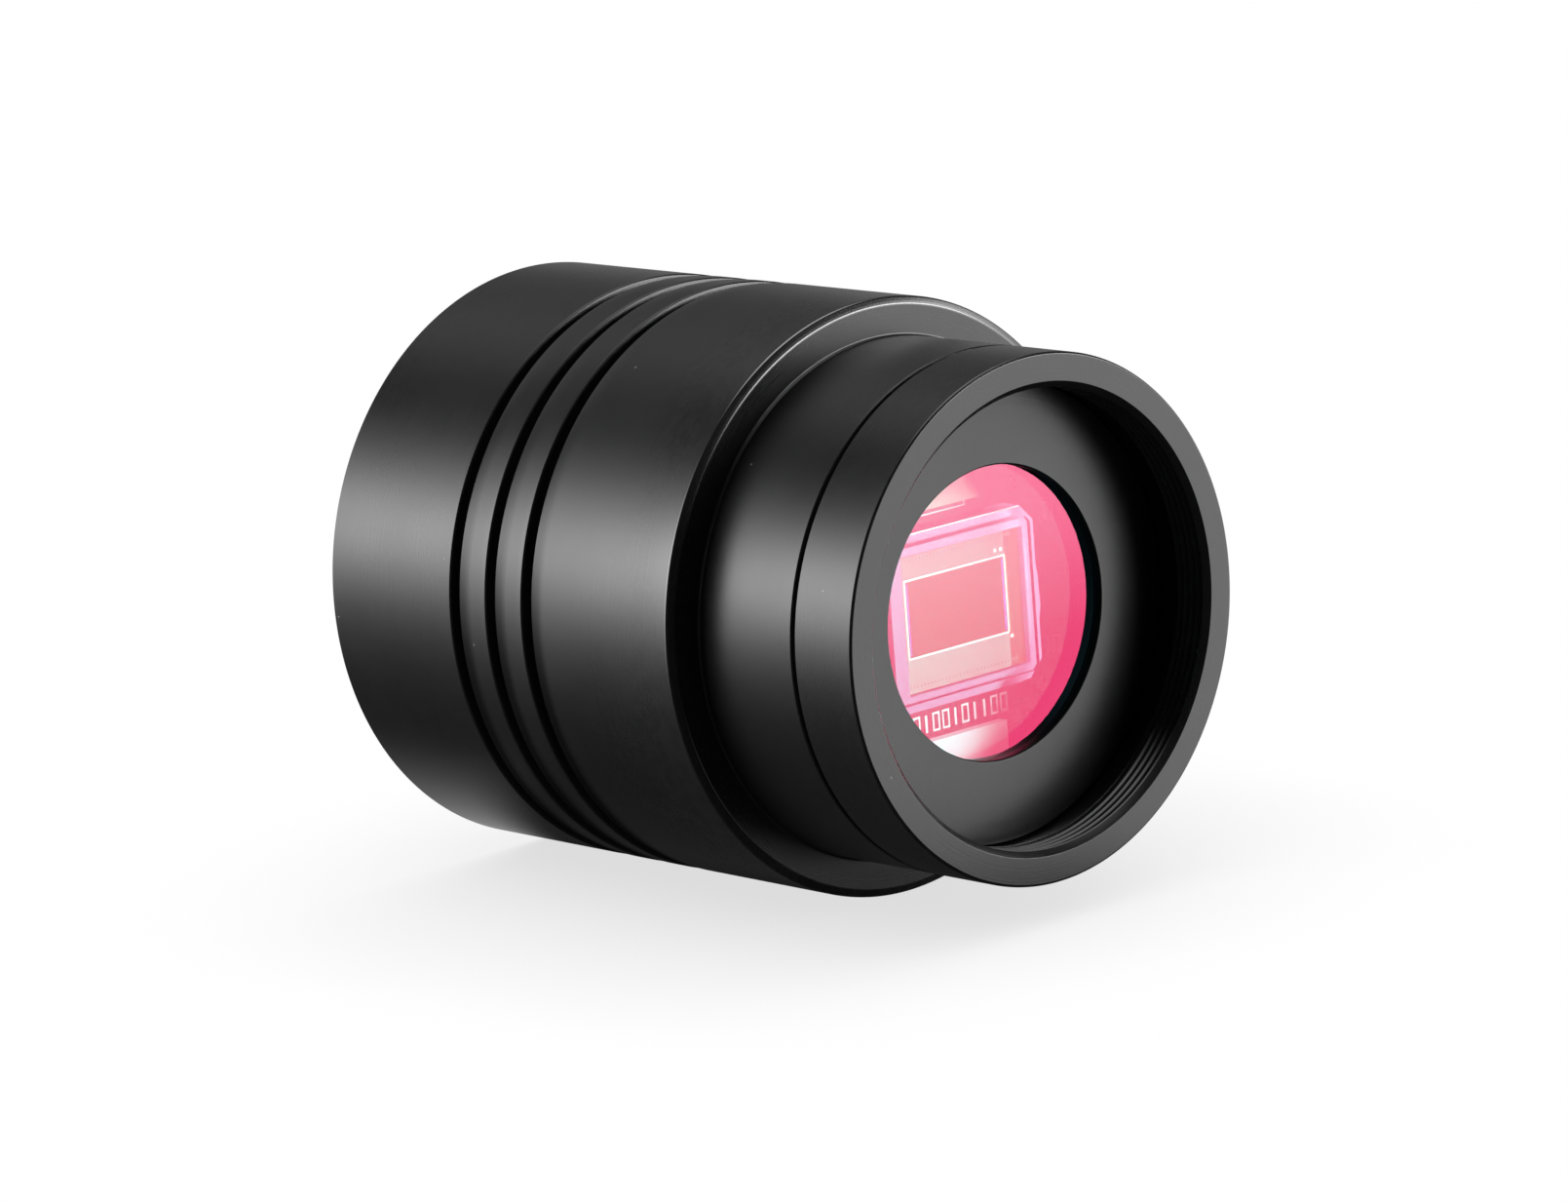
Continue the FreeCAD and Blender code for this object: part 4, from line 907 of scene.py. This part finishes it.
# bevel width on the edges of each softened node
SOFTENED = {
    "rear_cover": 0.06, "cover_screws": 0.06, "power_jack": 0.06, "usb_tongue": 0.06,
    "front_chips": 0.06, "sensor_package": 0.06, "usb_socket": 0.04,
}

for node, finish in FINISH.items():
    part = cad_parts[node]
    if not part.material_slots:
        part.data.materials.append(materials[finish])
    for slot in part.material_slots:
        slot.material = materials[finish]

for node, width in SOFTENED.items():
    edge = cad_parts[node].modifiers.new("edge", "BEVEL")
    edge.width = width * MM
    edge.segments = 2
    edge.limit_method = "ANGLE"
    edge.angle_limit = math.radians(35.0)
    edge.use_clamp_overlap = True
    edge.harden_normals = False


# --------------------------------------------------------------------------
# studio world
# --------------------------------------------------------------------------
# light from the -X side: (degrees round the X axis, strength), 0 = -Y, 90 = +Z
REAR = [
    (-180, 0.350), (-168, 0.105), (-156, 0.019), (-144, 0.002), (-132, 0.148), (-120, 0.037),
    (-108, 0.024), (-96, 0.013), (-84, 0.013), (-72, 0.020), (-60, 0.030), (-48, 0.053),
    (-36, 0.095), (-24, 0.280), (-12, 1.074), (0, 3.708), (12, 8.786), (24, 7.728),
    (36, 2.615), (48, 0.676), (60, 0.081), (72, 0.030), (84, 0.091), (96, 0.371),
    (108, 0.350), (120, 0.210), (132, 0.150), (144, 0.117), (156, 0.138), (168, 0.264),
    (180, 0.350),
]
# share of that light lost close to the -X axis, by the same angle; below 0 it gains
FADE = [
    (-180, -0.2), (-150, 0.5), (-110, 0.9), (-78, 0.9), (-48, 0.8), (-18, 0.7), (12, 0.45),
    (42, 0.5), (82, 0.2), (110, -0.6), (135, -1.0), (155, -0.8), (180, -0.2),
]
# soft panels in front of the nose: azimuth in degrees from +X towards +Y, inner and outer half
# widths in degrees, lower and upper edge as the direction's z, softness of those edges, power
PANELS = [
    (53.0, 21.0, 41.0, -0.34, 0.40, 0.10, 3.1),
    (44.0, 15.0, 30.0, 0.18, 0.38, 0.06, 12.5),
]
OVERHEAD_POWER = 3.2
OVERHEAD_AIM = (-0.10, 0.20, 0.97)
AMBIENT = 0.012


def cos_span(outer, inner):
    return math.cos(math.radians(outer)), math.cos(math.radians(inner))


def by_roll(graph, roll, table, interpolation="LINEAR"):
    """Looks up a table of (degrees, level 0 to 1) by the turn round X."""
    node = graph.add("ValToRGB", Fac=graph.plus(roll, 0.5))
    node.color_ramp.interpolation = interpolation
    elements = node.color_ramp.elements
    while len(elements) > 1:
        elements.remove(elements[-1])
    for i, (degrees, level) in enumerate(table):
        position = (degrees + 180.0) / 360.0
        element = elements[0] if i == 0 else elements.new(position)
        element.position = position
        element.color = (level, level, level, 1.0)
    return graph.channels(node.outputs[0])[0]


def rear_light(graph, x, y, z):
    peak = max(strength for _, strength in REAR)
    roll = graph.math("DIVIDE", graph.math("ARCTAN2", z, graph.times(y, -1.0)), 2.0 * math.pi)
    level = by_roll(graph, roll, [(turn, value / peak) for turn, value in REAR], "B_SPLINE")
    light = graph.times(level, peak, graph.ramp(x, span=(-0.30, 0.10), to=(1.0, 0.0)))
    # the colour ramp holds 0 to 1, the share runs from -1 to 1
    share = by_roll(graph, roll, [(turn, (value + 1.0) / 2.0) for turn, value in FADE])
    share = graph.minus(graph.times(share, 2.0), 1.0)
    lost = graph.times(share, graph.ramp(x, span=(-0.90, -0.72), to=(1.0, 0.0)))
    return graph.times(light, graph.minus(1.0, lost))


def panel(graph, flat_x, flat_y, z, azimuth, inner, outer, low, high, soft, power):
    turn = math.radians(azimuth)
    along = graph.plus(graph.times(flat_x, math.cos(turn)), graph.times(flat_y, math.sin(turn)))
    side = graph.ramp(along, span=cos_span(outer, inner))
    bottom = graph.ramp(z, span=(low - soft, low + soft))
    upper = graph.ramp(z, span=(high - soft, high + soft), to=(1.0, 0.0))
    return graph.times(side, graph.times(bottom, upper), power)


def studio_world():
    """The lights as directions in the world; the camera itself sees plain white."""
    graph = Graph("studio", bpy.data.worlds)
    x, y, z = graph.split(graph.add("TexCoord").outputs["Generated"])
    flat = graph.math("SQRT", graph.plus(graph.times(x, x), graph.plus(graph.times(y, y), 1e-6)))
    flat_x, flat_y = (graph.math("DIVIDE", axis, flat) for axis in (x, y))
    total = graph.plus(rear_light(graph, x, y, z), AMBIENT)
    for spec in PANELS:
        total = graph.plus(panel(graph, flat_x, flat_y, z, *spec), total)
    overhead = graph.plus(*[graph.times(axis, aim) for axis, aim in zip((x, y, z), OVERHEAD_AIM)])
    total = graph.plus(graph.ramp(overhead, span=cos_span(34.0, 18.0), to=(0.0, OVERHEAD_POWER)),
                       total)
    lit = graph.add("Background", Color=WHITE, Strength=total)
    seen = graph.add("Background", Color=WHITE, Strength=1.0)
    camera_ray = graph.add("LightPath").outputs["Is Camera Ray"]
    return graph.finish(graph.blend(camera_ray, lit, seen), "OutputWorld")


scene.world = studio_world()


# --------------------------------------------------------------------------
# floor
# --------------------------------------------------------------------------
def floor_material():
    """Pale floor with a soft contact shade.

    In reflections it shows a painted shadow under the body, a painted lit patch beyond the rear
    end, and is clear elsewhere.
    """
    graph = Graph("floor_pale")
    contact = graph.add("AmbientOcclusion", {"samples": 24}, Distance=0.035).outputs["AO"]
    shade = graph.ramp(contact, span=(0.10, 0.95), to=(0.72, 1.0), smooth=False)
    speckle = graph.noise(graph.coords(), scale=30.0, detail=2.0, rough=0.5)
    shade = graph.times(shade, graph.ramp(speckle, span=(0.3, 0.7), to=(0.998, 1.0)))
    x, y, _ = graph.split(graph.coords())
    # painted light in reflections: a lit patch on the floor beyond the rear end
    beyond = graph.times(graph.ramp(x, span=(-0.069, -0.059), to=(0.60, 0.0)),
                         graph.ramp(x, span=(-0.40, -0.20)),
                         graph.ramp(y, span=(-0.030, -0.008)))
    # painted shadow in reflections: the floor under the body turns black
    under_y = graph.times(graph.ramp(y, span=(-0.022, -0.007)),
                          graph.ramp(y, span=(0.008, 0.036), to=(1.0, 0.0)))
    under = graph.times(graph.ramp(x, span=(-0.070, -0.062)),
                        graph.ramp(x, span=(0.000, 0.052), to=(0.86, 0.0)),
                        under_y)
    clear = graph.add("BsdfTransparent", Color=WHITE)
    shaded = graph.blend(under, clear, graph.emission(0.0))
    reflected = graph.both(graph.emission(beyond), shaded)
    mirrored = graph.add("LightPath").outputs["Is Glossy Ray"]
    return graph.finish(graph.blend(mirrored, graph.emission(shade), reflected))


def add_floor():
    half = 3.0
    level = cad_low[2] - 0.0002
    mesh = bpy.data.meshes.new("floor")
    mesh.from_pydata([(-half, -half, level), (half, -half, level), (half, half, level),
                      (-half, half, level)], [], [(0, 1, 2, 3)])
    floor = add_object("floor", mesh)
    mesh.materials.append(floor_material())
    floor.visible_diffuse = False
    floor.visible_transmission = False
    floor.visible_shadow = False


add_floor()


# --------------------------------------------------------------------------
# camera and view
# --------------------------------------------------------------------------
def add_camera():
    place = Vector((0.40625119, -0.39830722, 0.12468684))
    forward = Vector((-0.72535021, 0.65607874, -0.20839328)).normalized()
    right = Vector((0.68075901, 0.72858249, -0.07572801)).normalized()
    upward = right.cross(forward).normalized()
    data = bpy.data.cameras.new("camera_main")
    data.sensor_fit = "HORIZONTAL"
    data.sensor_width = 36.0
    data.lens = 151.6987197
    data.clip_start = 0.01
    data.clip_end = 50.0
    camera = add_object("camera_main", data)
    turn = Matrix((right, upward, -forward)).transposed()
    camera.matrix_world = Matrix.Translation(place) @ turn.to_4x4()
    scene.camera = camera


add_camera()
scene.view_settings.view_transform = "Standard"
scene.view_settings.look = "None"
scene.view_settings.exposure = 0.0
scene.view_settings.gamma = 1.0
